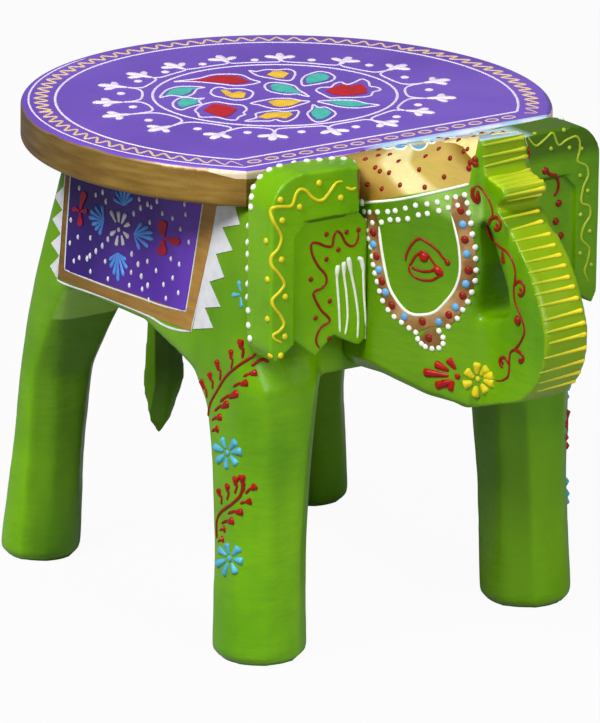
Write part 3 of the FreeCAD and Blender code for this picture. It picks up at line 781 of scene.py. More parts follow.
class Paint:
    """Cone paint of one colour: cords, drops, beads and flat patches that end as one piece."""

    def __init__(self, where, both_sides=False):
        self.where = where
        self.both_sides = both_sides
        self.cords = []
        self.beads = []
        self.patches = []

    def cord(self, pixels, radius, shape=CORD, closed=False, step=SAMPLE_STEP, leap=math.inf):
        """A smooth cord through the pixels, broken where the surface leaps further than it may."""
        path = flow(pixels, closed, step)
        if closed:
            shape = RING
        runs = []
        points = []
        for index, pixel in enumerate(path):
            found = self.where(*pixel)
            if found:
                share = index / max(1, len(path) - 1)
                width = radius * width_at(shape, share)
                spot = found[0] - found[1] * width * SUNK_SHARE
                if points and (spot - points[-1][0]).length > leap:
                    runs.append(points)
                    points = []
                points.append((spot, width))
        runs.append(points)
        self.cords += [run for run in runs if len(run) > 1]
        return self

    def drops(self, ends, radius, shape=DROP):
        """Drops, each from its thin end to its blob."""
        for thin, blob in ends:
            self.cord([thin, blob], radius, shape)
        return self

    def dots(self, pixels, radius):
        """A bead at each pixel."""
        for pixel in pixels:
            found = self.where(*pixel)
            if found:
                self.beads.append((found[0], found[1], radius))
        return self

    def patch(self, outline, cuts=3, lift=PATCH_LIFT):
        """A flat patch of paint inside an outline."""
        self.patches.append((outline, cuts, lift))
        return self

    def make(self, name, material, slot="green_lacquer", relief=1.0):
        """Build every mark, join them, and press marks on the seat flatter."""
        parts = []
        sides = (1, -1) if self.both_sides else (1,)
        if self.cords:
            parts.append(self.cord_mesh(name, sides))
        if self.beads:
            parts.append(self.bead_mesh(name, sides))
        for outline, cuts, lift in self.patches:
            parts.append(self.patch_mesh(name, outline, cuts, lift, sides))
        bpy.ops.object.select_all(action="DESELECT")
        for part in parts:
            part.select_set(True)
        bpy.context.view_layer.objects.active = parts[0]
        if len(parts) > 1:
            bpy.ops.object.join()
        piece = bpy.context.view_layer.objects.active
        piece.name = name
        if relief != 1.0:
            for vertex in piece.data.vertices:
                vertex.co.z = seat_centre.z + (vertex.co.z - seat_centre.z) * relief
        for vertex in piece.data.vertices:
            for axis in range(3):
                vertex.co[axis] = min(max(vertex.co[axis], cad_box[0][axis]), cad_box[1][axis])
        only(piece)
        bpy.ops.object.shade_smooth_by_angle(angle=ROUND_ANGLE)
        dress(piece, material)
        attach(piece, "root")
        print(name, "has", len(piece.data.polygons), "faces")
        return piece

    def cord_mesh(self, name, sides):
        curve = bpy.data.curves.new(name, "CURVE")
        curve.dimensions = "3D"
        curve.bevel_depth = MM
        curve.bevel_resolution = 1
        curve.use_fill_caps = True
        for side in sides:
            for points in self.cords:
                spline = curve.splines.new("POLY")
                spline.points.add(len(points) - 1)
                for point, (place, radius) in zip(spline.points, points):
                    point.co = (place.x * side, place.y, place.z, 1)
                    point.radius = radius / MM
        cords = bpy.data.objects.new(name, curve)
        bpy.context.scene.collection.objects.link(cords)
        only(cords)
        bpy.ops.object.convert(target="MESH")
        return bpy.context.view_layer.objects.active

    def bead_mesh(self, name, sides):
        corners = []
        faces = []
        for side in sides:
            for place, normal, radius in self.beads:
                spot = Vector((place.x * side, place.y, place.z))
                facing = Vector((normal.x * side, normal.y, normal.z))
                turn = facing.to_track_quat("Z", "Y")
                start = len(corners)
                for corner in bead_corners:
                    flat = Vector((corner.x, corner.y, corner.z * BEAD_HEIGHT)) * radius
                    corners.append(spot + turn @ flat)
                faces += [[start + index for index in face] for face in bead_faces]
        mesh = bpy.data.meshes.new(name)
        mesh.from_pydata(corners, [], faces)
        beads = bpy.data.objects.new(name, mesh)
        bpy.context.scene.collection.objects.link(beads)
        return beads

    def patch_mesh(self, name, outline, cuts, lift, sides):
        """Fill the outline in the picture, divide it, and lay each corner on the wood."""
        mesh = bpy.data.meshes.new(name)
        mesh.from_pydata([(x, -y, 0) for x, y in outline], [], [list(range(len(outline)))])
        sheet = bpy.data.objects.new(name, mesh)
        bpy.context.scene.collection.objects.link(sheet)
        steps = [(bpy.ops.mesh.quads_convert_to_tris, {})]
        if cuts:
            steps.append((bpy.ops.mesh.subdivide, {"number_cuts": cuts}))
        edit(sheet, *steps)
        for vertex in mesh.vertices:
            found = self.where(vertex.co.x, -vertex.co.y)
            vertex.co = found[0] + found[1] * lift if found else (math.nan,) * 3
        edit(sheet, (bpy.ops.mesh.delete, {"type": "VERT"}), chosen=lambda place: math.isnan(place.x))
        return close_sheet(sheet, PATCH_THICKNESS, 0, len(sides) > 1)


# %% [markdown]
# Cone paint is acrylic thickened with chalk. It dries with a soft sheen, its colour varies a
# little with how thick it lies, and its surface is faintly uneven. One recipe serves every
# colour. The gold of the borders has flakes in it and is brushed, and the trunk's bars, the
# cloth's violet and the garland's tan each vary in a way of their own.

# %% Cone paints
SHEEN = 0.38
PAINT_RELIEF = 0.12 * MM
BRUSHED_RELIEF = 0.15 * MM


def cone_paint(name, colour, shade=0.78):
    """Thick paint that is a shade darker where it lies deep."""
    recipe = Recipe(name, SHEEN, coat=0.06)
    deep = tuple(c * shade for c in colour[:3]) + (1,)
    recipe.colour(recipe.ramp(recipe.noise(180, 3), (0.3, deep), (0.6, colour)))
    recipe.bump(recipe.noise(500, 2), PAINT_RELIEF)
    return recipe.material


fern_paint = cone_paint("fern_cone_paint", srgb(158, 14, 4))
white_paint = cone_paint("white_cone_paint", srgb(230, 236, 220), 0.88)
# A greyer copy of the white paint for the cloth, as painted shade under the seat.
cloth_white_shaded_paint = cone_paint("cloth_white_shaded_cone_paint", srgb(206, 208, 212), 0.88)
seat_white_paint = cone_paint("seat_white_cone_paint", srgb(226, 216, 240), 0.88)
yellow_paint = cone_paint("yellow_cone_paint", srgb(212, 196, 28), 0.84)
olive_yellow_paint = cone_paint("olive_yellow_cone_paint", srgb(158, 178, 40), 0.86)
cream_paint = cone_paint("cream_cone_paint", srgb(222, 194, 142), 0.86)
wine_paint = cone_paint("wine_cone_paint", srgb(134, 24, 6))
crimson_paint = cone_paint("crimson_cone_paint", srgb(164, 16, 42))
red_paint = cone_paint("red_cone_paint", srgb(188, 20, 30))
blue_paint = cone_paint("blue_cone_paint", srgb(94, 162, 210))
cloth_blue_paint = cone_paint("cloth_blue_cone_paint", srgb(84, 144, 224))
leg_blue_paint = cone_paint("leg_blue_cone_paint", srgb(84, 172, 196))
ice_paint = cone_paint("ice_cone_paint", srgb(176, 206, 226), 0.9)
teal_paint = cone_paint("teal_cone_paint", srgb(70, 186, 172))
leaf_yellow_paint = cone_paint("leaf_yellow_cone_paint", srgb(240, 196, 50))
facet_highlight_paint = cone_paint("facet_highlight_cream_paint", srgb(232, 214, 142), 0.86)

BAR_OLIVE = srgb(146, 172, 30)
BAR_YELLOW = srgb(232, 212, 40)
BAR_SHADE = (278 * MM, 286 * MM)
BAR_WIDTH = (-14 * MM, 10 * MM)


def bar_yellow():
    """Yellow that was put on thinly at the right of each bar, and thickly at its head; near the top,
    painted shade turns it olive.
    """
    recipe = Recipe("bar_cone_paint", SHEEN, coat=0.12, specular=0.3)
    across, _, height = recipe.axes()
    thick = recipe.between(across, *BAR_WIDTH)
    # Painted shade: the bars turn olive near the crown's top.
    low = recipe.between(height, *BAR_SHADE, 1.0, 0.35)
    recipe.colour(recipe.mix(recipe.times(thick, low), BAR_OLIVE, BAR_YELLOW))
    recipe.bump(recipe.noise(500, 2), PAINT_RELIEF)
    return recipe.material


GOLD_BRASSY = srgb(176, 128, 62)
GOLD_SHADE = (-20 * MM, 115 * MM)


def gold_trim():
    """Brushed gold with painted light and shade: lighter at the cloth's front, darker towards its rear."""
    recipe = Recipe("gold_trim", 0.45, coat=0.05, metallic=0.1)
    gold, streaks = gold_streaks(recipe, 80)
    gold = recipe.mix(0.35, gold, GOLD_BRASSY)
    recipe.colour(recipe.dim(gold, recipe.between(recipe.axes()[1], *GOLD_SHADE, 1.25, 0.62)))
    recipe.bump(streaks, BRUSHED_RELIEF)
    return recipe.material


CLOTH_VIOLET = srgb(70, 32, 138)
CLOTH_PALE = srgb(102, 60, 180)
CLOTH_SHADE_VIOLET = srgb(40, 16, 98)
CLOTH_SHADE = (30 * MM, 95 * MM)


def violet_cloth_paint():
    """Violet with painted shade that darkens it towards the rear."""
    recipe = Recipe("violet_cloth_paint", 0.36, coat=0.08)
    violet = recipe.ramp(recipe.noise(16, 3), (0.3, CLOTH_VIOLET), (0.7, CLOTH_PALE))
    # Painted shade: the violet darkens towards the rear.
    thick = recipe.between(recipe.axes()[1], *CLOTH_SHADE, 0.0, 0.95)
    recipe.colour(recipe.mix(thick, violet, CLOTH_SHADE_VIOLET))
    recipe.bump(recipe.noise(160, 3), BRUSHED_RELIEF)
    return recipe.material


TAN_DARK = srgb(98, 66, 28)
TAN = srgb(136, 98, 52)
TAN_PALE = srgb(186, 148, 102)


def garland_tan():
    """Brown and tan that were dabbed into each other."""
    recipe = Recipe("garland_tan", 0.42, coat=0.08)
    clouds = recipe.noise(45, 4)
    recipe.colour(recipe.ramp(clouds, (0.36, TAN_DARK), (0.5, TAN), (0.66, TAN_PALE)))
    recipe.bump(recipe.noise(300, 3), PAINT_RELIEF)
    return recipe.material


bar_paint = bar_yellow()
garland_paint = garland_tan()
gold_paint = gold_trim()
cloth_paint = violet_cloth_paint()
print("mixed the cone paints")

# %% [markdown]
# The cheeks are glued to the trunk's board, and below the gap between them the carver rasped
# the step away. The corners in two boxes, given by the distance from the middle, the place
# along and the height, are smoothed many times: the low step, and the gap's own edges.

# %% The cheek's lower front blended into the trunk
LOW_STEP = ((10 * MM, -162 * MM, 162 * MM), (math.inf, -122 * MM, 206 * MM))
GAP_EDGE = ((-math.inf, -178 * MM, 200 * MM), (22 * MM, -135 * MM, 262 * MM))
RASP_FACTOR = 0.5


def rasp(piece, box, repeats):
    """Smooth the part of a piece that lies in a box and in its mirror image."""
    def chosen(place):
        spot = (abs(place.x), place.y, place.z)
        return all(low < value < high for low, value, high in zip(box[0], spot, box[1]))

    edit(piece, (bpy.ops.mesh.vertices_smooth, {"factor": RASP_FACTOR, "repeat": repeats}), chosen=chosen)


rasp(head, LOW_STEP, 90)
rasp(head, GAP_EDGE, 30)
print("blended the cheeks into the trunk")

# %% [markdown]
# The head is lacquered like the body, and then its upper part gets a gold cap and the
# trunk's front a thin yellow wash. Both have clean edges that follow the carving, so they
# are masks in the head's own material and not sheets. The cap ends at a line that the
# painter drew level with the brow; two spots of the picture give its height and slope. A
# pale diagonal band, which is a painted highlight on the cap's ridge with brown painted
# shade on either side and low down, and the cap's front end are placed the same way. The
# crown's flat top is cream as a painted highlight, the ledge under it lime as a painted
# highlight, and the end of the raised trunk pale blue. Painted shade fills the gap between
# trunk and cheek and darkens the head towards the rear, and a pale green painted highlight
# lies on the brow under the band.

# %% Gold cap and yellow wash on the head
find_head = by_eye(skin(head))
CAP_LINE = ((361.9, 202.6), (469, 184.1))
CAP_FRONT = ((476.4, 150.0), (469.8, 180.0))
BAND_MIDDLE = ((392, 151), (409, 193))
BAND_ENDS = ((384, 165), (412, 165))
CAP_SHADE_BROWN = srgb(142, 108, 30)
CAP_TAN = srgb(196, 166, 86)
CAP_HIGHLIGHT_CREAM = srgb(238, 224, 160)
CAP_OLIVE = srgb(196, 172, 84)
TRUNK_WASH = srgb(130, 158, 4)
GAP_SHADOW_GREEN = srgb(50, 96, 6)
BROW_HIGHLIGHT_GREEN = srgb(170, 214, 110)
LEDGE_HIGHLIGHT_LIME = srgb(178, 208, 26)
CROWN_ICE = srgb(168, 198, 212)
GAP_BACK_WALL = (-153 * MM, -152 * MM)
GAP_FRONT = (-173 * MM, -171 * MM)
GAP_SHADE = (212 * MM, 250 * MM)
GAP_TOP = (268 * MM, 269 * MM)
LEDGE = ((500, 170), (520, 189))
LEDGE_BLUR = 2 * MM
CROWN_TOP = (trunk_high.z - 7 * MM, trunk_high.z - 6 * MM)
CROWN_FRONT = (-126 * MM, -122 * MM)
TRUNK_SHADE = (trunk_low.y + 45 * MM, trunk_low.y + 90 * MM)
CAP_BLUR = (-0.3 * MM, 0.3 * MM)
HALF_TRUNK = (trunk_high.x - trunk_low.x) / 2
CHEEK_START = (HALF_TRUNK - 0.6 * MM, HALF_TRUNK + 0.2 * MM)
SLAB_END = (HALF_TRUNK - 0.8 * MM, HALF_TRUNK - 0.4 * MM)
BROWN_HEIGHT = 30 * MM
BROW_HEIGHT = (-26 * MM, -20 * MM)


def slope_between(pixels):
    """A point of a line on the head, and how far it moves along for each step up."""
    first, second = (find_head(*pixel)[0] for pixel in pixels)
    return first, (second.y - first.y) / (second.z - first.z)


def from_line(recipe, along, height, pixels):
    """How far to the rear of a line on the head a place lies."""
    start, lean = slope_between(pixels)
    shift = recipe.times(recipe.minus(height, start.z), lean)
    return recipe.minus(recipe.minus(along, start.y), shift)


def cap_gold(recipe, behind_band, above):
    """The cap's gold and tan with a pale band as a painted highlight and brown painted shade beside it and
    low down, and how far across the band a place lies.
    """
    middle, lean = slope_between(BAND_MIDDLE)
    spots = [find_head(*pixel)[0] for pixel in BAND_ENDS]
    rear, front = (spot.y - middle.y - (spot.z - middle.z) * lean for spot in spots)
    print("pale band from", round(rear, 4), "to", round(front, 4))
    reach = rear - front
    share = recipe.between(behind_band, rear + reach, front - 2 * reach)
    # Painted light and shade across the cap: brown, tan, a cream highlight, olive, tan, brown.
    gold = recipe.ramp(
        share, (0.0, CAP_SHADE_BROWN), (0.2, CAP_TAN), (0.26, CAP_HIGHLIGHT_CREAM), (0.46, CAP_HIGHLIGHT_CREAM), (0.52, CAP_OLIVE),
        (0.85, CAP_TAN), (1.0, CAP_SHADE_BROWN),
    )
    # Painted shade: brown low on the cap, near its line.
    low = recipe.between(above, 0, BROWN_HEIGHT, 0.4, 0.0)
    gold = recipe.mix(recipe.times(low, recipe.between(share, 0.1, 0.3, 1.0, 0.0)), gold, CAP_SHADE_BROWN)
    clouds = recipe.noise(45, 4)
    return recipe.mix(recipe.between(clouds, 0.45, 0.7, 0.0, 0.3), gold, CAP_TAN), share


def head_lacquer():
    recipe, green, brush = start_lacquer("head_lacquer")
    across, along, height = recipe.axes()
    side = recipe.math("ABSOLUTE", across)
    upwards = recipe.facing()["Z"]

    start, lean = slope_between(CAP_LINE)
    rise = recipe.times(recipe.minus(along, start.y), 1 / lean)
    above = recipe.minus(recipe.minus(height, rise), start.z)
    on_cheek = recipe.between(side, *CHEEK_START)
    on_slab = recipe.between(side, *SLAB_END, 1.0, 0.0)
    level = recipe.between(upwards, 0.5, 0.7)
    on_crown = recipe.times(level, recipe.between(along, *CROWN_FRONT), recipe.minus(1.0, on_cheek))
    gold, share = cap_gold(recipe, from_line(recipe, along, height, BAND_MIDDLE), above)

    forwards = recipe.between(recipe.facing()["Y"], -0.35, -0.15, 0.75, 0.0)
    ahead = recipe.between(along, *GAP_BACK_WALL, 1.0, 0.0)
    outside = recipe.math("MAXIMUM", ahead, recipe.between(height, *GAP_TOP))
    green = recipe.mix(recipe.times(forwards, on_slab, outside), green, TRUNK_WASH)

    # Painted highlight: the ledge's upward faces under the crown are lime.
    ledge_top, ledge_low = (find_head(*pixel)[0].z for pixel in LEDGE)
    print("ledge from", round(ledge_low, 4), "to", round(ledge_top, 4))
    from_below = recipe.between(height, ledge_low, ledge_low + LEDGE_BLUR)
    from_above = recipe.between(height, ledge_top - LEDGE_BLUR, ledge_top, 0.8, 0.0)
    ledge = recipe.times(from_below, recipe.between(upwards, 0.05, 0.4), from_above, ahead, on_slab)
    green = recipe.mix(ledge, green, LEDGE_HIGHLIGHT_LIME)

    # Painted shade in the gap between trunk and cheek, darkest high up.
    inside = recipe.times(recipe.between(along, *GAP_FRONT), on_slab)
    low = recipe.between(height, *GAP_SHADE, 0.0, 0.55)
    gap_shadow = recipe.times(inside, low, recipe.between(height, *GAP_TOP, 1.0, 0.0))
    green = recipe.mix(gap_shadow, green, GAP_SHADOW_GREEN)
    # Painted shade: the head darkens towards the rear, over the cheeks.
    green = recipe.dim(green, recipe.between(along, *TRUNK_SHADE, 0.95, 0.68))

    # Painted highlight: pale green on the brow, under the cap's pale band.
    brow_highlight = recipe.times(recipe.between(share, 0.2, 0.34), recipe.between(share, 0.5, 0.78, 1.0, 0.0))
    brow = recipe.times(recipe.between(above, *BROW_HEIGHT), on_cheek)
    green = recipe.mix(recipe.times(brow_highlight, brow, 0.5), green, BROW_HIGHLIGHT_GREEN)
    crown_end = recipe.times(level, recipe.between(height, *CROWN_TOP), 0.85)
    green = recipe.mix(crown_end, green, CROWN_ICE)

    # Painted highlight: the crown's flat top is cream.
    gold = recipe.mix(on_crown, gold, CAP_HIGHLIGHT_CREAM)
    behind = recipe.between(from_line(recipe, along, height, CAP_FRONT), *CAP_BLUR)
    on_cap = recipe.between(above, *CAP_BLUR)
    capped = recipe.times(on_cap, recipe.plus(on_cheek, on_crown), behind)
    recipe.join(recipe.between(capped, 0, 1, 0.0, 0.15), recipe.shader.inputs["Metallic"])
    return lacquered(recipe, recipe.mix(capped, green, gold), brush)


dress(head, head_lacquer())
print("dressed the head")

# %% [markdown]
# The seat's border follows its outline: a cream zigzag, with cream rings in its place at the
# straight side, and a white line inside it that runs all the way round. A thin white line
# near the edge is left only at the front left and on half of the straight side. The outline
# is a circle cut by a chord, so a line at any inset is a smaller circle cut by a nearer
# chord, and the marks are spaced along it by length.

# %% Lines at an inset from the seat's edge
def on_seat(x, y):
    """A spot of the seat's top, from its centre."""
    return seat_centre + Vector((x, y, 0)), Vector((0, 0, 1))


def edge_line(inset, step):
    """Points a step apart on the seat's outline moved inwards: first the arc, then the chord."""
    radius = seat_radius - inset
    chord = seat_chord - inset
    opening = math.acos(chord / radius)
    arc_length = radius * 2 * (math.pi - opening)
    count = max(8, round(arc_length / step))
    arc = []
    for index in range(count + 1):
        angle = -math.pi / 2 + opening + 2 * (math.pi - opening) * index / count
        arc.append(Vector((radius * math.cos(angle), radius * math.sin(angle))))
    count = max(4, round((arc[0] - arc[-1]).length / step))
    line = [arc[-1].lerp(arc[0], index / count) for index in range(1, count)]
    return arc, line


LINE_STEP = 5 * MM
INNER_INSET = 19.5 * MM
OUTER_INSET = 4.5 * MM
INNER_LINE = 0.9 * MM
OUTER_LINE = 0.7 * MM
SEAT_RELIEF = 0.5
OUTER_LINE_SHARE = 0.56
STRAIGHT_LINE_SHARE = 0.45
border = Paint(on_seat)
arc, line = edge_line(INNER_INSET, LINE_STEP)
border.cord(arc + line, INNER_LINE, closed=True, step=LINE_STEP)
arc, line = edge_line(OUTER_INSET, LINE_STEP)
front_left = arc[round(len(arc) * OUTER_LINE_SHARE):] + line[:round(len(line) * STRAIGHT_LINE_SHARE)]
border.cord(front_left, OUTER_LINE, step=LINE_STEP)
border.make("seat_border_white", seat_white_paint, "seat_paint", SEAT_RELIEF)

ZIGZAG_STEP = 5.2 * MM
ZIGZAG_INSETS = (8.0 * MM, 15.0 * MM)
ZIGZAG_CORD = 0.95 * MM
ZIGZAG_SAMPLE = 1.6 * MM
INNER_CROWDING = 14 / 14.6
OVAL_INSET = 12 * MM
OVAL_LENGTH = 5.7 * MM
OVAL_SHARE = 0.7
OVAL_HALF_WIDTH = 2.6 * MM
OVAL_CORD = 0.65 * MM
OVAL_SAMPLE = 1.5 * MM
OVAL_CORNERS = 10
zigzag = Paint(on_seat)
outer = edge_line(ZIGZAG_INSETS[0], ZIGZAG_STEP)[0]
inner = edge_line(ZIGZAG_INSETS[1], ZIGZAG_STEP * INNER_CROWDING)[0]
teeth = []
for index in range(len(outer)):
    row = outer if index % 2 else inner
    teeth.append(row[round(index * (len(row) - 1) / (len(outer) - 1))])
zigzag.cord(teeth, ZIGZAG_CORD, step=ZIGZAG_SAMPLE)
middle_line = edge_line(OVAL_INSET, OVAL_LENGTH)[1]
for start, end in zip(middle_line[:-1:2], middle_line[1::2]):
    aside = Vector((start.y - end.y, end.x - start.x)).normalized() * OVAL_HALF_WIDTH
    oval = []
    for corner in range(OVAL_CORNERS):
        angle = math.tau * corner / OVAL_CORNERS
        along = (end - start) * OVAL_SHARE * math.cos(angle)
        oval.append((start + end) / 2 + along + aside * math.sin(angle))
    zigzag.cord(oval, OVAL_CORD, closed=True, step=OVAL_SAMPLE)
zigzag.make("seat_border_cream", cream_paint, "seat_paint", SEAT_RELIEF)

# %% [markdown]
# Inside the border a white vine winds round a circle. Each of its seventeen scallops ends in
# a bud of three lobes that points outwards, and a dot sits between each two. The buds are
# at the painter's own uneven spots.

# %% The white vine
BUDS = [
    (280, 56.5), (222, 58.6), (173, 65.7), (137, 75), (110, 86), (104.5, 102.5), (114, 115.7),
    (158, 129), (217, 136), (273, 137), (335, 132), (388, 124), (423, 112), (444, 98),
    (439, 81), (398.5, 67), (346, 60),
]
VINE_DOTS = [
    (254.7, 60.2), (202.7, 64.3), (165.3, 72.2), (138, 81.4), (121, 93.7), (132.9, 107.1),
    (148.6, 120.4), (197.6, 129), (247.6, 132.7), (301.6, 132), (355.9, 127), (396.6, 117),
    (418.2, 105), (429.1, 89.9), (404.8, 77.4), (369.3, 65.4), (311.8, 60.2),
]
BUD_STALK = 10 * MM
BUD_LOBE = ((0, 0.35), (0.55, 1), (0.85, 0.85), (1, 0.4))
SIDE_LOBE = ((0, 0.6), (0.7, 1), (1, 0.5))
BUD_WIDTH = 3.2 * MM
BUD_REACH = 7
SIDE_WIDTH = 2.8 * MM
SIDE_START = 6
SIDE_REACH = 8.5
SIDE_LEAD = 0.5
VINE_SAMPLE = 2 * MM
VINE_CORD = 0.9 * MM
RING_CORD = 0.95 * MM
VINE_BEAD = 2.7 * MM
RING_MIDDLE = (275, 95.3)
RING_HALF_WIDTH = 122.5
RING_HALF_HEIGHT = 30.7
RING_PARTS = 72
SCALLOP_CLEAR = 1.075
SCALLOP_DROP = 0.7
SCALLOP_ROUND = 0.18


def from_centre(across, down):
    """The spot of the seat behind a pixel, from the seat's centre."""
    place = on_seat_by_eye(across, down)[0] - seat_centre
    return Vector((place.x, place.y))


def ring_towards(spot):
    """A little outside the ring, in the direction of a spot."""
    return max(ring, key=lambda point: point.normalized().dot(spot.normalized())) * SCALLOP_CLEAR


ring = []
for index in range(RING_PARTS):
    angle = math.tau * index / RING_PARTS
    across = RING_MIDDLE[0] + RING_HALF_WIDTH * math.cos(angle)
    ring.append(from_centre(across, RING_MIDDLE[1] + RING_HALF_HEIGHT * math.sin(angle)))
bud_spots = [from_centre(*pixel) for pixel in BUDS]
bud_bases = [spot.normalized() * (spot.length - BUD_STALK) for spot in bud_spots]
vine = Paint(on_seat)
vine.cord(ring, RING_CORD, closed=True, step=LINE_STEP)
for index, spot in enumerate(bud_spots):
    outwards = spot.normalized()
    aside = Vector((-outwards.y, outwards.x))
    base = bud_bases[index]
    vine.cord([base, spot + outwards * BUD_REACH * MM], BUD_WIDTH, BUD_LOBE, step=VINE_SAMPLE)
    for turn in (-1, 1):
        tip = spot + aside * turn * SIDE_REACH * MM + outwards * SIDE_LEAD * MM
        start = base + outwards * SIDE_START * MM
        vine.cord([start, tip], SIDE_WIDTH, SIDE_LOBE, step=VINE_SAMPLE)
    next_base = bud_bases[(index + 1) % len(bud_bases)]
    low = ring_towards(base + next_base)
    near_side, far_side = (
        end.lerp(ring_towards(end), SCALLOP_DROP).lerp(low, SCALLOP_ROUND) for end in (base, next_base)
    )
    vine.cord([base, near_side, low, far_side, next_base], VINE_CORD, step=VINE_SAMPLE)
vine.dots([from_centre(*pixel) for pixel in VINE_DOTS], VINE_BEAD)
vine.make("seat_vine_white", seat_white_paint, "seat_paint", SEAT_RELIEF)

# %% [markdown]
# The medallion holds thirteen leaves and flowers. Each is a flat patch of colour inside a white
# cord, and each was drawn by hand, so each has its own outline, read off the
# picture. A leaf's patch is its outline drawn in; a flower's patch has a shape of its own.

# %% Leaves and flowers of the medallion
SEAT_LEAVES = {
    "red": [
        [(174.7, 81.5), (197, 78.7), (211.9, 75), (226.7, 74.1), (241.6, 75), (251.8, 79.6), (260.1, 82),
         (249, 84.7), (236, 85.7), (223, 84.3), (210, 82.9), (191.4, 81.5)],
    ],
    "teal": [
        [(159.9, 97.3), (165.4, 90.8), (175.6, 87.1), (189.6, 86.3), (204.4, 87.5), (197, 88.9),
         (193.3, 93.6), (184.9, 96.8), (172.9, 95.4), (163.6, 96.8)],
        [(172.9, 102.9), (179.4, 98.2), (189.6, 97.6), (197, 98.7), (204.4, 98.0), (198.4, 100.5),
         (201.6, 103.8), (195.1, 105.6), (188.6, 107.5), (181.2, 109.8), (174.7, 107.5)],
        [(264.5, 86), (268, 83), (275, 82.5), (285, 83.5), (295, 86), (298.5, 89.5), (309, 96.5),
         (296.5, 94), (288, 94.5), (277, 93), (268, 90.5)],
        [(301.5, 80), (305, 76), (311, 73.5), (319, 71.5), (329, 73), (335, 77), (331, 81), (320, 83.5),
         (311, 85), (303, 85.5)],
        [(318, 101.5), (327, 100.5), (341, 100), (355, 100.5), (367, 103.5), (379, 105), (368, 107),
         (355, 108), (341, 107), (330, 104.5)],
        [(313, 104.5), (319, 107.5), (325, 107), (332, 110), (336, 113.5), (331, 118), (323, 121.5),
         (315, 121.5), (309, 116.5), (307.5, 113), (312, 109)],
    ],
}
SEAT_FLOWERS = [
    ("yellow",
     [(249.5, 70.5), (256, 71.5), (262, 70.3), (269, 69.5), (276, 70), (288, 69.2), (295, 72), (294, 77),
      (290, 80.5), (280, 80), (272, 78.5), (261, 76.5), (255, 74.5)],
     [(267, 75), (273, 71.8), (281, 71.3), (289, 74), (284, 78), (275, 77.6)]),
    ("yellow",
     [(210.5, 92.2), (213.7, 88.5), (220.2, 87.1), (228.6, 88.9), (236.9, 88.5), (246.2, 89.4),
      (253.2, 92.2), (251.8, 95.9), (248.1, 98.7), (239.7, 100.1), (231.4, 99.6), (223, 97.7),
      (214.6, 95.9)],
     [(220.5, 90.6), (226, 90.2), (232, 93.6), (236, 92.6), (240, 91.8), (246, 93.6), (244, 98),
      (232, 97.8), (226, 95.6)]),
    ("red",
     [(195.1, 110.3), (202.6, 104.7), (215.6, 101.9), (228.6, 103.8), (243.4, 105.6), (246.7, 109.4),
      (243.4, 112.6), (245.3, 114.5), (238.8, 116.8), (236, 120), (226.7, 119.6), (217.4, 117.2),
      (208.1, 117.2), (199.8, 116.8), (197.9, 113.1)],
     [(203.4, 110.3), (213, 104.4), (225, 105.4), (237, 109.2), (232, 114.4), (225, 117.4),
      (215, 115.2)]),
    ("yellow",
     [(251, 103.2), (265, 100), (275, 98.5), (290, 98.5), (300, 100.5), (309.5, 101.5), (299, 105),
      (289, 108), (278, 109), (268, 107.5), (259, 105)],
     [(268, 102), (276, 100.4), (290, 100.2), (302, 101.6), (292, 105.6), (281, 107), (274, 106)]),
    ("yellow",
     [(245.3, 121), (256.4, 117.7), (255.5, 114), (262, 112.1), (274, 110.7), (285, 111.5), (298, 110.5),
      (298, 114), (295, 118), (287, 121.5), (280, 121), (276, 119.5), (270, 121), (260, 121)],
     [(258.5, 117.4), (267, 113.4), (278, 112.8), (290, 112.8), (293, 115), (286.5, 118.6), (277, 117.4),
      (267, 119)]),
    ("red",
     [(316, 90), (321, 87.5), (331, 87), (334, 84), (341, 82), (347, 84.5), (355, 82), (362, 79),
      (369, 82), (370, 86), (378, 87.5), (380.5, 90), (373, 92), (371, 95.5), (363, 97), (351, 97.5),
      (340, 97.5), (331, 98), (324, 95), (319, 92.5)],
     [(326, 91), (335, 87), (343, 85), (351, 86.4), (361, 84.4), (366, 88), (367, 93), (355, 95.4),
      (341, 95.8), (332, 94.4)]),
]
FILL_SHARE = 0.72
OUTLINE_CORD = 0.85 * MM
seat_paints = {"red": red_paint, "yellow": leaf_yellow_paint, "teal": teal_paint}
fills = {colour: Paint(on_seat_by_eye) for colour in seat_paints}
outlines = Paint(on_seat_by_eye)
for colour, leaves in SEAT_LEAVES.items():
    for leaf in leaves:
        outlines.cord(leaf, OUTLINE_CORD, closed=True)
        points = [Vector(pixel) for pixel in leaf]
        middle = sum(points, Vector((0, 0))) / len(points)
        fills[colour].patch([middle + (point - middle) * FILL_SHARE for point in points], cuts=0)
for colour, outline, inside in SEAT_FLOWERS:
    outlines.cord(outline, OUTLINE_CORD, closed=True)
    fills[colour].patch(inside, cuts=0)
outlines.make("seat_motif_outlines", seat_white_paint, "seat_paint", SEAT_RELIEF)
for colour, paint in fills.items():
    paint.make("seat_motifs_" + colour, seat_paints[colour], "seat_paint")

# %% [markdown]
# A saddle cloth is painted on each flank. It is a field of violet, a gold border with a white
# line on either side, and a row of white lace points down both edges. Field and border are
# thin sheets that follow the carving: a grid whose corners are pixels, each laid on the wood
# behind its pixel. The cloth runs up under the seat, so its top corners climb to the board.

# %% The cloth's fields
find_body = by_eye(skin(body))
UNDER_SEAT = seat_low.z - 1.5 * MM
SHEET_THICKNESS = 0.5 * MM
SHEET_ANGLE = math.radians(40)
SHEET_PARTS = (60, 40)
BORDER_LIFT = 0.35 * MM
FIELD_LIFT = 0.65 * MM


def up_to_seat(across, down, lean):
    """Climb from a pixel until the wood behind it meets the seat board."""
    found = find_body(across, down)
    while found and found[0].z < UNDER_SEAT:
        kept = (across, down)
        down -= 1
        across += lean
        found = find_body(across, down)
    return kept


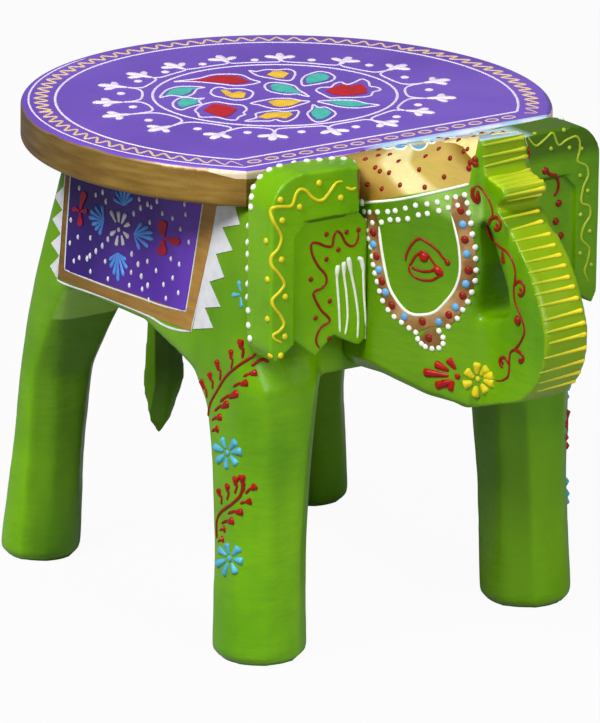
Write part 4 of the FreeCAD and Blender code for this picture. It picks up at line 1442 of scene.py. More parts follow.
def laid_sheet(name, corners, lift, material):
    """A grid between four pixels, laid on the body and copied to the other side."""
    bpy.ops.object.select_all(action="DESELECT")
    across, down = SHEET_PARTS
    bpy.ops.mesh.primitive_grid_add(x_subdivisions=across, y_subdivisions=down, size=1)
    sheet = bpy.context.object
    sheet.name = name
    top_left, top_right, low_right, low_left = (Vector(corner) for corner in corners)
    for vertex in sheet.data.vertices:
        right = vertex.co.x + 0.5
        low = 0.5 - vertex.co.y
        pixel = top_left.lerp(top_right, right).lerp(low_left.lerp(low_right, right), low)
        place, normal = find_body(*pixel)
        vertex.co = place + normal * lift
    close_sheet(sheet, SHEET_THICKNESS, -1, True)
    bpy.ops.object.shade_smooth_by_angle(angle=SHEET_ANGLE)
    dress(sheet, material)
    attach(sheet, "root")
    print(name, "has", len(sheet.data.polygons), "faces")
    return sheet


BORDER_LEFT = (57.4, 278.2)
BORDER_RIGHT = (191.0, 331.5)
FIELD_LEFT = (64.6, 269.7)
FIELD_RIGHT = (185.8, 311.3)
border_top = (up_to_seat(65.0, 190.0, 0.06), up_to_seat(217.0, 214.0, 0.19))
field_top = (up_to_seat(70.4, 190.0, 0.05), up_to_seat(202.0, 210.0, 0.14))
border_sheet = laid_sheet("cloth_border", [*border_top, BORDER_RIGHT, BORDER_LEFT], BORDER_LIFT, gold_paint)
field_sheet = laid_sheet("cloth_field", [*field_top, FIELD_RIGHT, FIELD_LEFT], FIELD_LIFT, cloth_paint)
find_cloth = by_eye(skin(border_sheet, field_sheet, body))

# %% White lines, lace and dots of the cloth
RIGHT_LACE = [
    (217.5, 206), (235.7, 205.9), (240.3, 224.4), (222.8, 227.2), (232.9, 250.3), (216.3, 254),
    (224.6, 277.1), (209.8, 281.7), (220.9, 306.7), (205.2, 307.6), (213.5, 328), (193.5, 329),
]
LEFT_LACE = [
    (57.4, 278), (50.5, 266), (60, 256), (51.5, 243), (61.5, 234), (53, 219), (63, 210), (55, 196),
    (65, 186),
]
CLOTH_DOTS = [
    (71, 220), (78, 237), (90.5, 238), (70, 243), (79.4, 257.7), (74, 261), (90.5, 271.5), (108, 279),
    (129.4, 285.4), (105.3, 261.4), (131.2, 272.5), (148.8, 300), (166, 298.4), (163.6, 284.5),
    (156.2, 270.6), (171, 258.6), (179.3, 264.2), (178.4, 292.8), (172.8, 278), (188.9, 242),
    (180.6, 229), (172.8, 218), (185.8, 214.2), (162.6, 213.3), (150, 222.2), (151.5, 206.8),
    (184.8, 204), (139.5, 199), (147.5, 261.4), (142.3, 289.1), (79.4, 188), (96, 194.8),
]
CLOTH_DASHES = [
    (108.1, 239.2), (102.5, 245.7), (96.1, 251.2), (90.1, 255.8), (87.2, 258.6), (134, 213.3),
    (140.8, 207.7), (147.8, 204), (157.1, 201), (131.8, 254), (138.2, 264.2), (141.4, 276.2),
    (147.8, 285.4), (106.2, 201.3), (102.9, 192),
]
FLOWER_CENTRE = (118.9, 229.6)
FLOWER_PETALS = [
    ((116.1, 222.5), (111.0, 210.7)), ((118.9, 222.5), (118.9, 211.0)), ((121.7, 223.6), (126.0, 213.4)),
    ((124.3, 226.3), (130.0, 223.2)), ((123.4, 232.1), (129.0, 237.5)), ((121.5, 235.4), (123.6, 245.6)),
    ((117.9, 235.4), (116.4, 245.6)), ((115.7, 231.1), (110.6, 234.6)),
]

FIELD_LINES = [
    [field_top[0], (66.5, 235), FIELD_LEFT],
    [FIELD_LEFT, (103, 285), (141.4, 298.4), (163.6, 306.2), FIELD_RIGHT],
    [FIELD_RIGHT, (194.5, 258), field_top[1]],
]
BORDER_SIDES = [[border_top[0], (61.5, 225), BORDER_LEFT], [BORDER_RIGHT, (205, 270), border_top[1]]]
BORDER_FOOT = [
    BORDER_LEFT, (62.5, 283.2), (105, 298.0), (147, 315.5), (163, 325.0), (177, 330.0), BORDER_RIGHT,
]
FIELD_CORD = 0.55 * MM
SIDE_CORD = 0.5 * MM
FOOT_CORD = 0.8 * MM
UPRIGHT_MARKS = [(CLOTH_DOTS, 2.7, 1.15 * MM), (CLOTH_DASHES, 3.2, 1.35 * MM)]
UPRIGHT_STEP = 1.2
CENTRE_BEAD = 1.5 * MM
PETAL_WIDTH = 1.8 * MM
LACE_LIFT = 0.3 * MM

cloth_white = Paint(find_cloth, both_sides=True)
for line in FIELD_LINES:
    cloth_white.cord(line, FIELD_CORD)
for line in BORDER_SIDES:
    cloth_white.cord(line, SIDE_CORD)
cloth_white.cord(BORDER_FOOT, FOOT_CORD)
for pixels, half, width in UPRIGHT_MARKS:
    for across, down in pixels:
        cloth_white.cord([(across, down - half), (across, down + half)], width, OVAL, step=UPRIGHT_STEP)
cloth_white.dots([FLOWER_CENTRE], CENTRE_BEAD)
cloth_white.drops(FLOWER_PETALS, PETAL_WIDTH, PETAL)
for outline in (RIGHT_LACE, LEFT_LACE):
    cloth_white.patch(outline, lift=LACE_LIFT)
cloth_white.make("cloth_white", cloth_white_shaded_paint)

# %% Blue fans and red trefoils of the cloth
FANS = [
    ((123.6, 205.5), [(113.5, 198.0), (116.1, 191.0), (120.5, 187.8), (125.5, 188.0), (130.5, 190.5),
                      (133.0, 197.0)]),
    ((103.9, 220.4), [(102.4, 204.7), (95.4, 206.0), (90.4, 210.7), (88.9, 217.1), (92.1, 224.6),
                      (95.4, 230.0), (99.6, 234.9)]),
    ((133.9, 234.3), [(141.9, 222.1), (148.3, 226.1), (152.6, 232.1), (153.2, 239.0), (148.3, 246.7),
                      (139.7, 249.7)]),
    ((117.9, 253.1), [(109.3, 260.0), (110.4, 267.5), (114.0, 275.0), (118.3, 281.4), (123.9, 276.1),
                      (127.5, 268.6), (126.0, 260.0)]),
]
TREFOILS = [
    ((163.9, 238.6), [((162.4, 220.5), 4.8), ((162.2, 255.5), 4.8), ((180.6, 242.6), 4.0)]),
    ((80.6, 211.0), [((84.8, 191.5), 3.2), ((80.6, 226.5), 2.6), ((73.0, 208.5), 2.6),
                     ((88.0, 211.5), 2.6)]),
]
BROAD_PETAL = [
    (0.1, 0.3), (0.35, 0.45), (0.6, 0.85), (0.8, 1.0), (0.94, 0.65), (1.0, 0.0),
    (0.94, -0.65), (0.8, -1.0), (0.6, -0.85), (0.35, -0.45), (0.1, -0.3),
]
FAN_WIDTH = 1.55 * MM
TREFOIL_LIFT = 0.4 * MM


def petal_outline(root, tip, half_width):
    """The outline of a broad flat petal, from its root round its tip."""
    root, tip = Vector(root), Vector(tip)
    along = tip - root
    aside = Vector((-along.y, along.x)).normalized() * half_width
    return [tuple(root + along * far + aside * wide) for far, wide in BROAD_PETAL]


cloth_blue = Paint(find_cloth, both_sides=True)
for root, tips in FANS:
    cloth_blue.drops([(root, tip) for tip in tips], FAN_WIDTH)
cloth_blue.make("cloth_blue", cloth_blue_paint)
cloth_red = Paint(find_cloth, both_sides=True)
for centre, petals in TREFOILS:
    for tip, half_width in petals:
        cloth_red.patch(petal_outline(centre, tip, half_width), cuts=1, lift=TREFOIL_LIFT)
cloth_red.make("cloth_red", crimson_paint)

# %% [markdown]
# Each ear is a board with a raised border and a sunk panel. White beads stand along its top
# and rear edges. A yellow wave with dots runs along the border, a wine-red one along the
# panel, and four white streaks hang beside it, some of them on the cheek. A dark sheet of
# painted shadow marks the notch that parts border and panel, and a tan strip runs down the
# inner edge near its top. The left ear has waves of its own, drawn again by hand in an olive
# yellow. First the inner edge is moved up to the cheek, but away from it at the top, where
# the ear's block ends.

# %% Bring the ear's inner edge up to the cheek
EDGE_INNER = 47 * MM
EDGE_WIDTH = 14 * MM
EAR_REAR = ear_high.y - 13 * MM
EAR_REAR_FADE = 24 * MM
EAR_FRONT = ear_low.y + 16 * MM
EAR_FRONT_FADE = 14 * MM
EAR_BLOCK = ear_high.z - 35 * MM
EAR_BLOCK_FADE = 7 * MM
EDGE_SHIFT = 3.6 * MM
BLOCK_SHIFT = 9 * MM


def clipped(value):
    """A value held between nothing and one."""
    return min(1.0, max(0.0, value))


for ear in (right_ear, left_ear):
    for vertex in ear.data.vertices:
        inner = clipped(1 - (abs(vertex.co.x) - EDGE_INNER) / EDGE_WIDTH)
        forwards = clipped((EAR_REAR - vertex.co.y) / EAR_REAR_FADE)
        front = clipped((EAR_FRONT - vertex.co.y) / EAR_FRONT_FADE)
        block = clipped((vertex.co.z - EAR_BLOCK) / EAR_BLOCK_FADE)
        inwards = EDGE_SHIFT * forwards - BLOCK_SHIFT * front * block
        vertex.co.x -= math.copysign(1.0, vertex.co.x) * inwards * inner
print("closed the gap between ears and cheeks")

# %% The ears' marks
find_ear = by_eye(skin(right_ear))
find_left_ear = by_eye(skin(left_ear))
LEFT_WAVE = [
    (527.9, 136.3), (531.5, 142.0), (536.5, 145.8), (545.1, 139.1), (552.8, 133), (558.5, 144.9),
    (566.2, 140.1), (575.8, 136.3), (579.6, 141), (579.6, 150.6), (577.7, 161.1), (586.3, 165.9),
    (588.2, 175.5), (583.4, 187), (581.5, 202.3), (589.1, 206.1), (590.1, 215.7), (584.4, 225.2),
    (581.5, 238.6), (589.1, 248.2), (587.2, 261.6), (584.4, 271.1), (588.2, 280.7),
]
LEFT_DOTS = [
    (534.6, 133.4), (563.9, 129.9), (550.9, 148.7), (569.4, 147.7), (581.5, 148.7), (580.1, 175.5),
    (587.6, 190.8), (580.5, 214.7), (589.7, 231), (580.1, 253.3), (591.1, 264.8),
]
LEFT_WINE = [(545.1, 170.7), (551, 175), (555.7, 175.5), (558.5, 183.1), (557.5, 190.5), (553.8, 196.5)]
LEFT_WINE_DOTS = [(545.1, 170.7), (558.5, 203.2), (555.7, 221.4), (560.4, 235.7)]
EAR_BEADS = [
    (355.4, 162.5), (343.7, 158.8), (331.9, 158.5), (319.5, 160), (307, 161), (293.1, 162.5),
    (279.6, 165.8), (269.3, 169.8), (260.0, 177.0), (253.4, 187.2), (251.6, 197.0), (251.0, 207.0),
    (243.8, 225.1), (243.5, 241.7), (244.2, 253.7), (245, 268.1), (245.7, 283.5), (246.4, 296.7),
    (248.3, 310.6), (248.6, 325.3), (250.1, 338.5),
]
EAR_WAVE = [
    (342.2, 181.5), (336.4, 182.6), (329.7, 191.8), (323.9, 199.1), (318, 200.6), (311.4, 196.9),
    (306.3, 191.1), (300.4, 189.3), (296, 194), (291.6, 205.7), (281.3, 206.5), (271.1, 208.7),
    (271.1, 216), (275.5, 224.8), (281.3, 236.5), (278.4, 248.3), (271.1, 257.1), (271.8, 265.9),
    (278.4, 273.2), (284.3, 283.5), (280.6, 290.8), (272.5, 299.6), (274, 307), (280.6, 315.8),
    (284, 324.6), (278.4, 331.9), (273.3, 334.8), (274.7, 339.2), (281.3, 342.5),
]
EAR_TICK = [(345.9, 187.4), (351.8, 189.6), (355.9, 187.4)]
EAR_DOTS = [
    (319, 183), (280.3, 199.9), (299.4, 206.9), (282.1, 220.4), (266.2, 240.9), (281.3, 259.7),
    (267.4, 279.4), (285, 296.7), (267.4, 319), (284.6, 336.6), (340.5, 197.7), (270.3, 355.7),
    (280.6, 355.7),
]
WINE_WAVE = [
    (358.4, 229.9), (357.6, 239.5), (352.5, 246.1), (345.9, 243.1), (340.8, 233.6), (336.4, 231.4),
    (333.4, 238), (332, 246.1), (325.3, 246.1), (318, 243.1), (311.4, 243.9), (312.1, 254.2),
    (318, 265.9), (325.3, 274.7), (326.1, 282.8), (320.9, 288.6), (313.6, 292.3), (315.1, 299.6),
    (320.9, 309.9), (329.7, 320.2), (320.9, 327.5), (316.5, 336.3), (316.5, 343.6), (320.9, 349.5),
]
WINE_DOTS = [
    (358.4, 229.9), (326.4, 234.3), (346.6, 232.1), (338.3, 249.7), (326.4, 259.3), (310.7, 279.4),
    (329.7, 301.1), (315.5, 318), (329, 338.5),
]
EAR_STREAKS = [
    [(338.0, 265.0), (337.0, 273.0), (337.1, 281.7), (338.8, 305.0), (340.0, 331.8)],
    [(343.7, 261.5), (344.1, 275.8), (346.4, 293.3), (347.6, 316.7), (345.3, 334.2)],
    [(348.4, 257.2), (350.5, 270.0), (355.2, 293.3), (358.1, 316.7), (357.5, 337.7)],
    [(357.5, 258.5), (361.0, 259.5), (363.0, 268.0), (363.3, 275.8), (363.9, 293.3), (365.4, 316.7),
     (365.1, 339.0)],
]
BEADS_ON_TOP = 7
EAR_NOTCH_SHADOW = [
    (303.3, 221.4), (312.0, 219.6), (322.0, 217.6), (334.0, 215.2), (345.9, 214.4), (344.0, 216.4),
    (334.0, 218.0), (322.0, 220.4), (312.0, 222.2),
]
EAR_TAN_STRIP = [(357.2, 164.0), (360.4, 163.5), (360.6, 181.0), (360.6, 198.0), (358.2, 198.0), (357.4, 181.0)]
EDGE_BEAD = 2.1 * MM
STREAK_WIDTH = 1.75 * MM
EAR_LIFT = 0.15 * MM
WAVE_CORD = 1.1 * MM
TICK_CORD = 0.95 * MM
WAVE_BEAD = 2.0 * MM
LEFT_CORD = 0.85 * MM
LEFT_BEAD = 1.4 * MM
WINE_CORD = 0.9 * MM
WINE_BEAD = 1.6 * MM
LEFT_WINE_CORD = 1.2 * MM
LEFT_WINE_BEAD = 2.3 * MM

edge_beads = Paint(find_ear, both_sides=True).dots(EAR_BEADS[BEADS_ON_TOP:], EDGE_BEAD)
edge_beads.make("ear_edge_beads", white_paint)
Paint(find_ear).dots(EAR_BEADS[:BEADS_ON_TOP], EDGE_BEAD).make("right_ear_top_beads", white_paint)
streaks = Paint(by_eye(skin(right_ear, head)), both_sides=True)
for streak in EAR_STREAKS:
    streaks.cord(streak, STREAK_WIDTH, STREAK)
streaks.make("ear_white_streaks", white_paint)
# A tan strip down the ear's inner edge, near its top.
Paint(find_ear, both_sides=True).patch(EAR_TAN_STRIP, 2, EAR_LIFT).make("ear_tan_edge", garland_paint)
# A dark sheet of painted shadow along the notch between border and panel.
Paint(find_ear, both_sides=True).patch(EAR_NOTCH_SHADOW, 2, EAR_LIFT).make("ear_notch_shadow", notch_shadow_green)
yellow = Paint(find_ear).cord(EAR_WAVE, WAVE_CORD).cord(EAR_TICK, TICK_CORD)
yellow.dots(EAR_DOTS, WAVE_BEAD).make("right_ear_yellow", yellow_paint)
yellow = Paint(find_left_ear).cord(LEFT_WAVE, LEFT_CORD)
yellow.dots(LEFT_DOTS, LEFT_BEAD).make("left_ear_yellow", olive_yellow_paint)
Paint(find_ear).cord(WINE_WAVE, WINE_CORD).dots(WINE_DOTS, WINE_BEAD).make("right_ear_wine", wine_paint)
wine = Paint(find_left_ear).cord(LEFT_WINE, LEFT_WINE_CORD)
wine.dots(LEFT_WINE_DOTS, LEFT_WINE_BEAD).make("left_ear_wine", wine_paint)

# %% [markdown]
# Each cheek has a garland that ends in a pendant, and a painted eye. The garland is a
# gold-brown strip between a row of white beads and a white line, with red and blue beads on
# it, and two rows of small beads join its ends under the cap. A wine-red vine with curls
# climbs the trunk from a flower at its root.

# %% The garland
GARLAND_OUTER = [
    (361.9, 202.6), (364.3, 211.8), (365.7, 220.8), (367.2, 230), (368.6, 238.6), (370.7, 247.2),
    (372.4, 256.4), (373.3, 264.8), (374.9, 273.1), (377.4, 281.7), (379.7, 291.2), (382.9, 300.8),
    (388.3, 309.8), (394.4, 316.7), (401.7, 322.4), (409.3, 328), (416, 332.4),
]
PENDANT = [
    (417.9, 339.1), (421.7, 343.8), (425.6, 346.7), (432.3, 348.6), (439, 348), (443.2, 343.8),
    (443.2, 337.5), (439, 331), (431.3, 326.2),
]
GARLAND_RIGHT = [
    (448.5, 326.6), (457.5, 318.4), (462.9, 309.8), (468, 301.7), (471.9, 292.2), (475.3, 280.7),
    (476.3, 270.2), (475.7, 258.7), (475.3, 247.2), (472.4, 234.2), (471.1, 223.3), (468.6, 213.2),
    (467.3, 203.2), (464.8, 195),
]
GARLAND_INNER = [
    (378.7, 226.6), (381.6, 250.1), (385.4, 271.1), (390.2, 289.3), (399.7, 304.6), (409.3, 313.2),
    (420.8, 315.1), (434.2, 312.3), (445.7, 301.7), (455.2, 288.4), (460, 271.1), (459.1, 248.2),
    (456.2, 232.9), (451.4, 213.7),
]
GARLAND_RED = [
    (373.3, 232.5), (376.4, 256.2), (382.1, 281.1), (392.1, 305.2), (422.7, 321.3), (449.1, 314.8),
    (462.9, 295.6), (468.6, 270.2), (465.0, 239.6), (461, 210.3), (429, 338.1),
]
GARLAND_BLUE = [
    (373.3, 244.4), (379.1, 269.8), (385.8, 292.2), (404.5, 316.7), (439, 321.8), (455.8, 307.1),
    (466, 284), (467, 254), (463, 224.4),
]
ROWS = [
    [(369.7, 212.2), (377.7, 212.2), (387.9, 211.8), (395.3, 210.9), (405.5, 208.4), (415.6, 205.5),
     (427.1, 204.2), (437.4, 202.3), (447.2, 198.1), (455.8, 197.1), (464.8, 195)],
    [(372.5, 222.8), (381.6, 222.4), (390.2, 219.9), (398.2, 219.9), (407.8, 218.9), (418.5, 215.1),
     (427.5, 213.7), (439, 210.9), (448.5, 208), (458, 205.5)],
]
STRIP_RIGHT_END = (452.5, 197.5)
STRIP_LEFT_END = (375.5, 211)
CAP_EDGE = [(361.9, 202.6), (385, 201), (407.4, 198.1), (445.7, 189.8), (469, 184.1)]
STRIP_LIFT = 0.2 * MM
GARLAND_BEAD = 1.8 * MM
FIRST_BEAD = 2.2 * MM
ROW_BEAD = 1.75 * MM
GARLAND_CORD = 1.0 * MM
CAP_CORD = 0.9 * MM
COLOUR_BEAD = 2.5 * MM
strip = GARLAND_OUTER[1:] + PENDANT[-1:] + GARLAND_RIGHT + [STRIP_RIGHT_END]
strip += GARLAND_INNER[::-1] + [STRIP_LEFT_END]
garland = Paint(find_head, both_sides=True).patch(strip, 3, STRIP_LIFT).patch(PENDANT, 2, STRIP_LIFT)
garland.make("garland_tan", garland_paint)

head_white = Paint(find_head, both_sides=True)
head_white.dots(GARLAND_OUTER[1:] + PENDANT[:-1] + GARLAND_RIGHT, GARLAND_BEAD)
head_white.dots(GARLAND_OUTER[:1], FIRST_BEAD)
head_white.cord(GARLAND_INNER, GARLAND_CORD)
head_white.cord(CAP_EDGE, CAP_CORD)
for row in ROWS:
    head_white.dots(row, ROW_BEAD)

# %% The eye, the flowers and the vine
EYE_BROW = [
    (405.5, 261.1), (406.5, 254.9), (409.1, 248.7), (413, 243), (419.7, 238.6), (428.5, 243),
    (438.3, 251.3), (441.9, 256.4), (447.6, 262.6),
]
EYE_LID = [
    (409.1, 266.2), (412.5, 261.1), (415.6, 255.9), (422.8, 251.8), (428, 254.9), (434.2, 263.7),
    (443.5, 273),
]
EYE_UNDER = [
    (409.1, 266.2), (409.4, 270.9), (413, 275.5), (421.3, 279.7), (431.6, 280.2), (439.3, 276.1),
    (443.5, 274.5),
]
EYE_INNER = [(411.5, 267.5), (415, 268.8), (422.8, 271.4), (431.1, 270.9), (436.5, 268)]
EYE_CORNER = [(433.8, 267.5), (443, 274.2)]
VINE_STEM = [
    (495.7, 380.6), (501, 380.8), (504.9, 379.1), (508, 376.2), (509.2, 369.4), (509.7, 355.9),
    (511.1, 351.5), (514.5, 349.6), (519.8, 343.3), (524.2, 333.5), (523.5, 324.5), (519.9, 313.7),
    (515.4, 302.9), (513.8, 290.3), (515.4, 274.1), (512.7, 261.5), (507.3, 252.5), (500, 247),
    (494.6, 241.7), (489.2, 234.5), (487.6, 226), (490.5, 221), (492.8, 212.8), (489.2, 200.2),
    (482, 189.4), (477.5, 186), (474.5, 186.5),
]
VINE_CURLS = [
    [(508.9, 365.1), (507.3, 360.7), (503.9, 357.3), (500.8, 358), (499.8, 361.8), (501.2, 366),
     (503.2, 367.5)],
    [(514.5, 349.6), (519.4, 352), (523, 356), (523.2, 360), (520.3, 362.5), (518.4, 359.8)],
    [(514.8, 286), (516.5, 282.5), (520, 281.4), (524, 285.5), (524.2, 292), (520.8, 295.6),
     (517.8, 293.5)],
    [(488.3, 223), (491, 218.8), (496.4, 217.2), (500.6, 221.8), (500, 228), (496, 230), (493.8, 227.3)],
    [(474.5, 186.5), (472.6, 191), (472.6, 196), (474.6, 200.5), (477.6, 202.5), (479, 199.5),
     (478.2, 194.5)],
]
VINE_BLOBS = [
    ((502.2, 360), (502.6, 364.5)), ((520.5, 357.5), (520.8, 361)), ((520.5, 287), (521, 291.5)),
    ((496.8, 222.5), (497.3, 226.8)), ((502.4, 250.5), (503.8, 264)), ((477.6, 190.5), (478.2, 200.5)),
]
HALF_FLOWER = [
    ((448.5, 375.6), (423.2, 372.0)), ((448.8, 370.6), (434.6, 363.2)), ((455.6, 369.0), (447.8, 358.6)),
    ((453.0, 381.5), (435.2, 386.0)), ((453.6, 381.0), (449.2, 390.4)), ((452.0, 381.0), (441.5, 384.5)),
]
YELLOW_PETALS = [
    ((465, 370), (474, 378)), ((477.4, 362), (477, 374)), ((488, 367.5), (481, 375)),
    ((493.5, 376), (484, 376.5)), ((494, 384), (484, 380.5)), ((487, 393), (481, 384)),
    ((475.6, 397), (476.5, 386)), ((463, 385.5), (472.5, 382.5)),
]
YELLOW_CENTRE = (478, 379)
BROW_END = (447.6, 262.6)
EYE_SPOT = (423.8, 256.9)
VINE_BERRY = (517.8, 320.6)
HALF_FLOWER_CENTRE = (457.5, 376.3)
CORNER_DROP = ((0.0, 0.6), (0.5, 1.0), (1.0, 0.35))
VINE_LEAP = 6 * MM
EYE_CORD = 0.95 * MM
CURL_CORD = 1.25 * MM
BLOB_WIDTH = 1.9 * MM
BERRY_BEAD = 3.0 * MM
SMALL_BEAD = 1.9 * MM
RED_PETAL = 2.8 * MM
EYE_BEAD = 3.1 * MM
CORNER_WIDTH = 3.0 * MM
YELLOW_PETAL = 3.3 * MM
YELLOW_BEAD = 1.7 * MM

head_wine = Paint(find_head, both_sides=True)
for line in (EYE_BROW, EYE_LID, EYE_UNDER, EYE_INNER):
    head_wine.cord(line, EYE_CORD)
head_wine.cord(VINE_STEM, EYE_CORD, leap=VINE_LEAP)
for curl in VINE_CURLS:
    head_wine.cord(curl, CURL_CORD, leap=VINE_LEAP)
head_wine.drops(VINE_BLOBS, BLOB_WIDTH, PETAL)
head_wine.dots([VINE_BERRY], BERRY_BEAD).dots(GARLAND_RED, COLOUR_BEAD).dots([BROW_END], SMALL_BEAD)
head_wine.make("head_wine", wine_paint)

head_red = Paint(find_head, both_sides=True).drops(HALF_FLOWER, RED_PETAL, PETAL)
head_red.dots([HALF_FLOWER_CENTRE], SMALL_BEAD).dots([EYE_SPOT], EYE_BEAD)
head_red.drops([EYE_CORNER], CORNER_WIDTH, CORNER_DROP).make("head_red", fern_paint)

head_yellow = Paint(find_head, both_sides=True)
head_yellow.drops([(inner, outer) for outer, inner in YELLOW_PETALS], YELLOW_PETAL, PETAL)
head_yellow.dots([YELLOW_CENTRE], YELLOW_BEAD).make("head_yellow", yellow_paint)
head_white.make("head_white", white_paint)
Paint(find_head, both_sides=True).dots(GARLAND_BLUE, COLOUR_BEAD).make("head_blue", blue_paint)

# %% [markdown]
# The cap is dotted with wine-red beads. Lace hangs over it from under the seat: a pale strip,
# and blue scallops edged with white. One facet at the cap's front gets a cream painted
# highlight. The trunk's front has yellow bars, each a drop from left to right.

# %% Dots and lace of the cap
CAP_DOTS = [
    (361.5, 149.3), (378.5, 150.0), (365.5, 159.2), (378.3, 155.6), (398.8, 161.3), (390.0, 154.6),
    (375.4, 167.6), (380.0, 171.3), (389.2, 172.8), (367.8, 184.5), (382.0, 188.9), (400.2, 185.0),
    (424.8, 187.2), (419.2, 169.7), (444.3, 176.9), (425.8, 156.3), (439.0, 148.9), (450.2, 158.2),
    (458.7, 140.3), (463.8, 151.4), (467.8, 149.2), (474.0, 137.0), (447.0, 139.5), (470.0, 162.5),
]
SCALLOPS = [
    ((388.0, 146.5), 5.0, 2.5), ((400.0, 144.5), 7.0, 5.0), ((418.7, 141.6), 9.0, 8.5),
    ((432.0, 141.5), 3.0, 2.0),
]
LACE_LINE = [
    (364, 147.8), (385, 145), (400, 142.6), (420, 139.8), (440, 137.2), (460, 134), (478, 131),
    (478, 128.6), (460, 131.2), (440, 134.4), (420, 137.2), (400, 139.8), (385, 142.2), (364, 145),
]
FACET_HIGHLIGHT = [
    (441.0, 142.5), (455.0, 140.0), (466.0, 138.2), (479.4, 136.4), (477.4, 145.7), (475.6, 154.3),
    (472.1, 158.6), (467.8, 154.3), (463.6, 147.0), (455.0, 143.4),
]
CAP_BLOBS = [(475.0, 159.5), (475.2, 164.0), (469.0, 168.2)]
SCALLOP_PARTS = 8
SCALLOP_CORD = 0.9 * MM
CAP_BEAD = 1.6 * MM
CAP_BLOB = 1.9 * MM
FACET_LIFT = 0.1 * MM
cap_red = Paint(find_head, both_sides=True).dots(CAP_DOTS, CAP_BEAD).dots(CAP_BLOBS, CAP_BLOB)
cap_red.make("cap_dots", wine_paint)


def find_near_half(across, down):
    """A spot of the head's right half, where marks don't run over the middle."""
    found = find_head(across, down)
    return found if found and found[0].x < 0 else None


cap_blue = Paint(find_near_half, both_sides=True)
cap_lace = Paint(find_near_half, both_sides=True)
for (across, down), wide, deep in SCALLOPS:
    angles = [math.pi * step / SCALLOP_PARTS for step in range(SCALLOP_PARTS + 1)]
    arc = [(across + wide * math.cos(angle), down + deep * math.sin(angle)) for angle in angles]
    cap_blue.patch(arc, cuts=1)
    cap_lace.cord(arc, SCALLOP_CORD)
# Painted highlight: a cream patch on one facet at the cap's front.
Paint(find_head, both_sides=True).patch(FACET_HIGHLIGHT, 3, FACET_LIFT).make("cap_facet_highlight", facet_highlight_paint)
Paint(find_near_half, both_sides=True).patch(LACE_LINE).make("cap_lace_pale", ice_paint)
cap_blue.make("cap_lace_blue", blue_paint)
cap_lace.make("cap_lace_white", white_paint)

# %% Bars on the trunk and the crown
TRUNK_BARS = [
    ((482, 145.8), (525.9, 136.8)), ((482, 157.3), (525.9, 148.2)), ((483.9, 166.9), (527.8, 155.9)),
    ((490.6, 180.3), (530.7, 169.3)), ((495.4, 184.1), (536.4, 172.5)), ((501.1, 187), (541.2, 176)),
    ((503.1, 189.8), (545.1, 180.5)), ((505, 196.5), (545.1, 187.8)), ((505.9, 201.3), (541.2, 194.2)),
    ((501.1, 219.1), (539.3, 210.4)), ((510.7, 230.4), (543.1, 220.9)), ((512.6, 241.5), (550.8, 233.4)),
    ((518.4, 252.4), (555.6, 244.5)), ((525.1, 262.5), (561.3, 254.4)), ((527.9, 273.1), (566.1, 264.9)),
    ((531.7, 284.5), (569.9, 276.4)), ((534.6, 295.1), (574.7, 286)), ((538.4, 306.5), (578.5, 297.5)),
    ((543.2, 320.9), (582.4, 309.9)), ((545.1, 333.3), (585.2, 322.3)), ((549, 343.8), (586.2, 333.8)),
    ((544.2, 358.8), (587.1, 347.2)), ((539.4, 373.5), (586.2, 359.6)), ((538.4, 383.6), (582.4, 371.1)),
    ((536.5, 391.7), (575.7, 380.7)),
]
BAR = ((0.0, 0.35), (0.1, 0.6), (0.75, 0.8), (0.93, 1.15), (1.0, 0.7))
BAR_CORD = 1.4 * MM
Paint(find_head).drops(TRUNK_BARS, BAR_CORD, BAR).make("trunk_bars", bar_paint)

# %% [markdown]
# A red fern climbs from each blue flower on the front legs: a stem with a curl, and leaves in
# pairs along it, each a thin bent stalk with a blob. The flowers are seven blue drops round
# a bead. A sprig of three blue drops sits on the flank, beside the ear.

# %% Ferns and flowers on the front legs
FERN_STEMS = [
    [(208, 427.8), (209.8, 405.6), (217.2, 390.8), (226.5, 376), (239.4, 365), (256, 353.8)],
    [(251.3, 366), (261.6, 359.4), (269, 362.2)],
    [(217, 538.6), (217, 520.7), (221.4, 511.8), (232.1, 503.8), (241.1, 493.9), (242.9, 477.9)],
]
FERN_LEAVES = [
    ((201.5, 380.7), (207, 398.2)), ((209.8, 373.3), (212.6, 389)), ((217.2, 361.2), (220, 380.7)),
    ((231.1, 351.1), (231.1, 368.6)), ((240.3, 340.9), (242.2, 358.5)), ((256, 372.3), (243.1, 377)),
    ((246.8, 382.5), (232.9, 387.1)), ((236.6, 393.6), (220, 401.9)), ((227.4, 403.8), (214.4, 411.2)),
    ((220.9, 416.7), (211.7, 420.4)), ((218.1, 428.8), (211.7, 431.5)), ((218.8, 489.5), (221.4, 504.6)),
    ((227.7, 485), (227.1, 500.2)), ((235.7, 477.9), (234.8, 493.9)), ((242, 476.1), (242.9, 492.1)),
    ((255.4, 485.9), (245.5, 493.9)), ((250.9, 501.1), (240.2, 503.8)), ((242, 511.8), (227.7, 513.6)),
    ((233, 520.7), (221.4, 523.4)), ((225, 528.8), (219.6, 530.5)), ((223.2, 538.6), (217.9, 542.1)),
]
LEG_FLOWERS = [
    ((227.5, 452.8), [(222.3, 438.6), (235.2, 441.3), (240.9, 451.4), (236.3, 463.6), (226.3, 467.1),
                      (217.8, 460.5), (215, 446.7)]),
    ((229.7, 558.5), [(226.8, 543.9), (238.6, 548), (242.1, 561.3), (235.3, 572.5), (224.1, 573.5),
                      (217.3, 563.8), (219.4, 549.3)]),
]
SIDE_SPRIG = [((241, 291.5), (238.7, 280.5)), ((240, 294.5), (232, 295)), ((240.5, 297), (242, 308))]
BEND = 0.1
STALK_END = 0.75
BLOB_START = 0.52
BLOB_PAST = 0.12
BLOB_STEP = 1.2
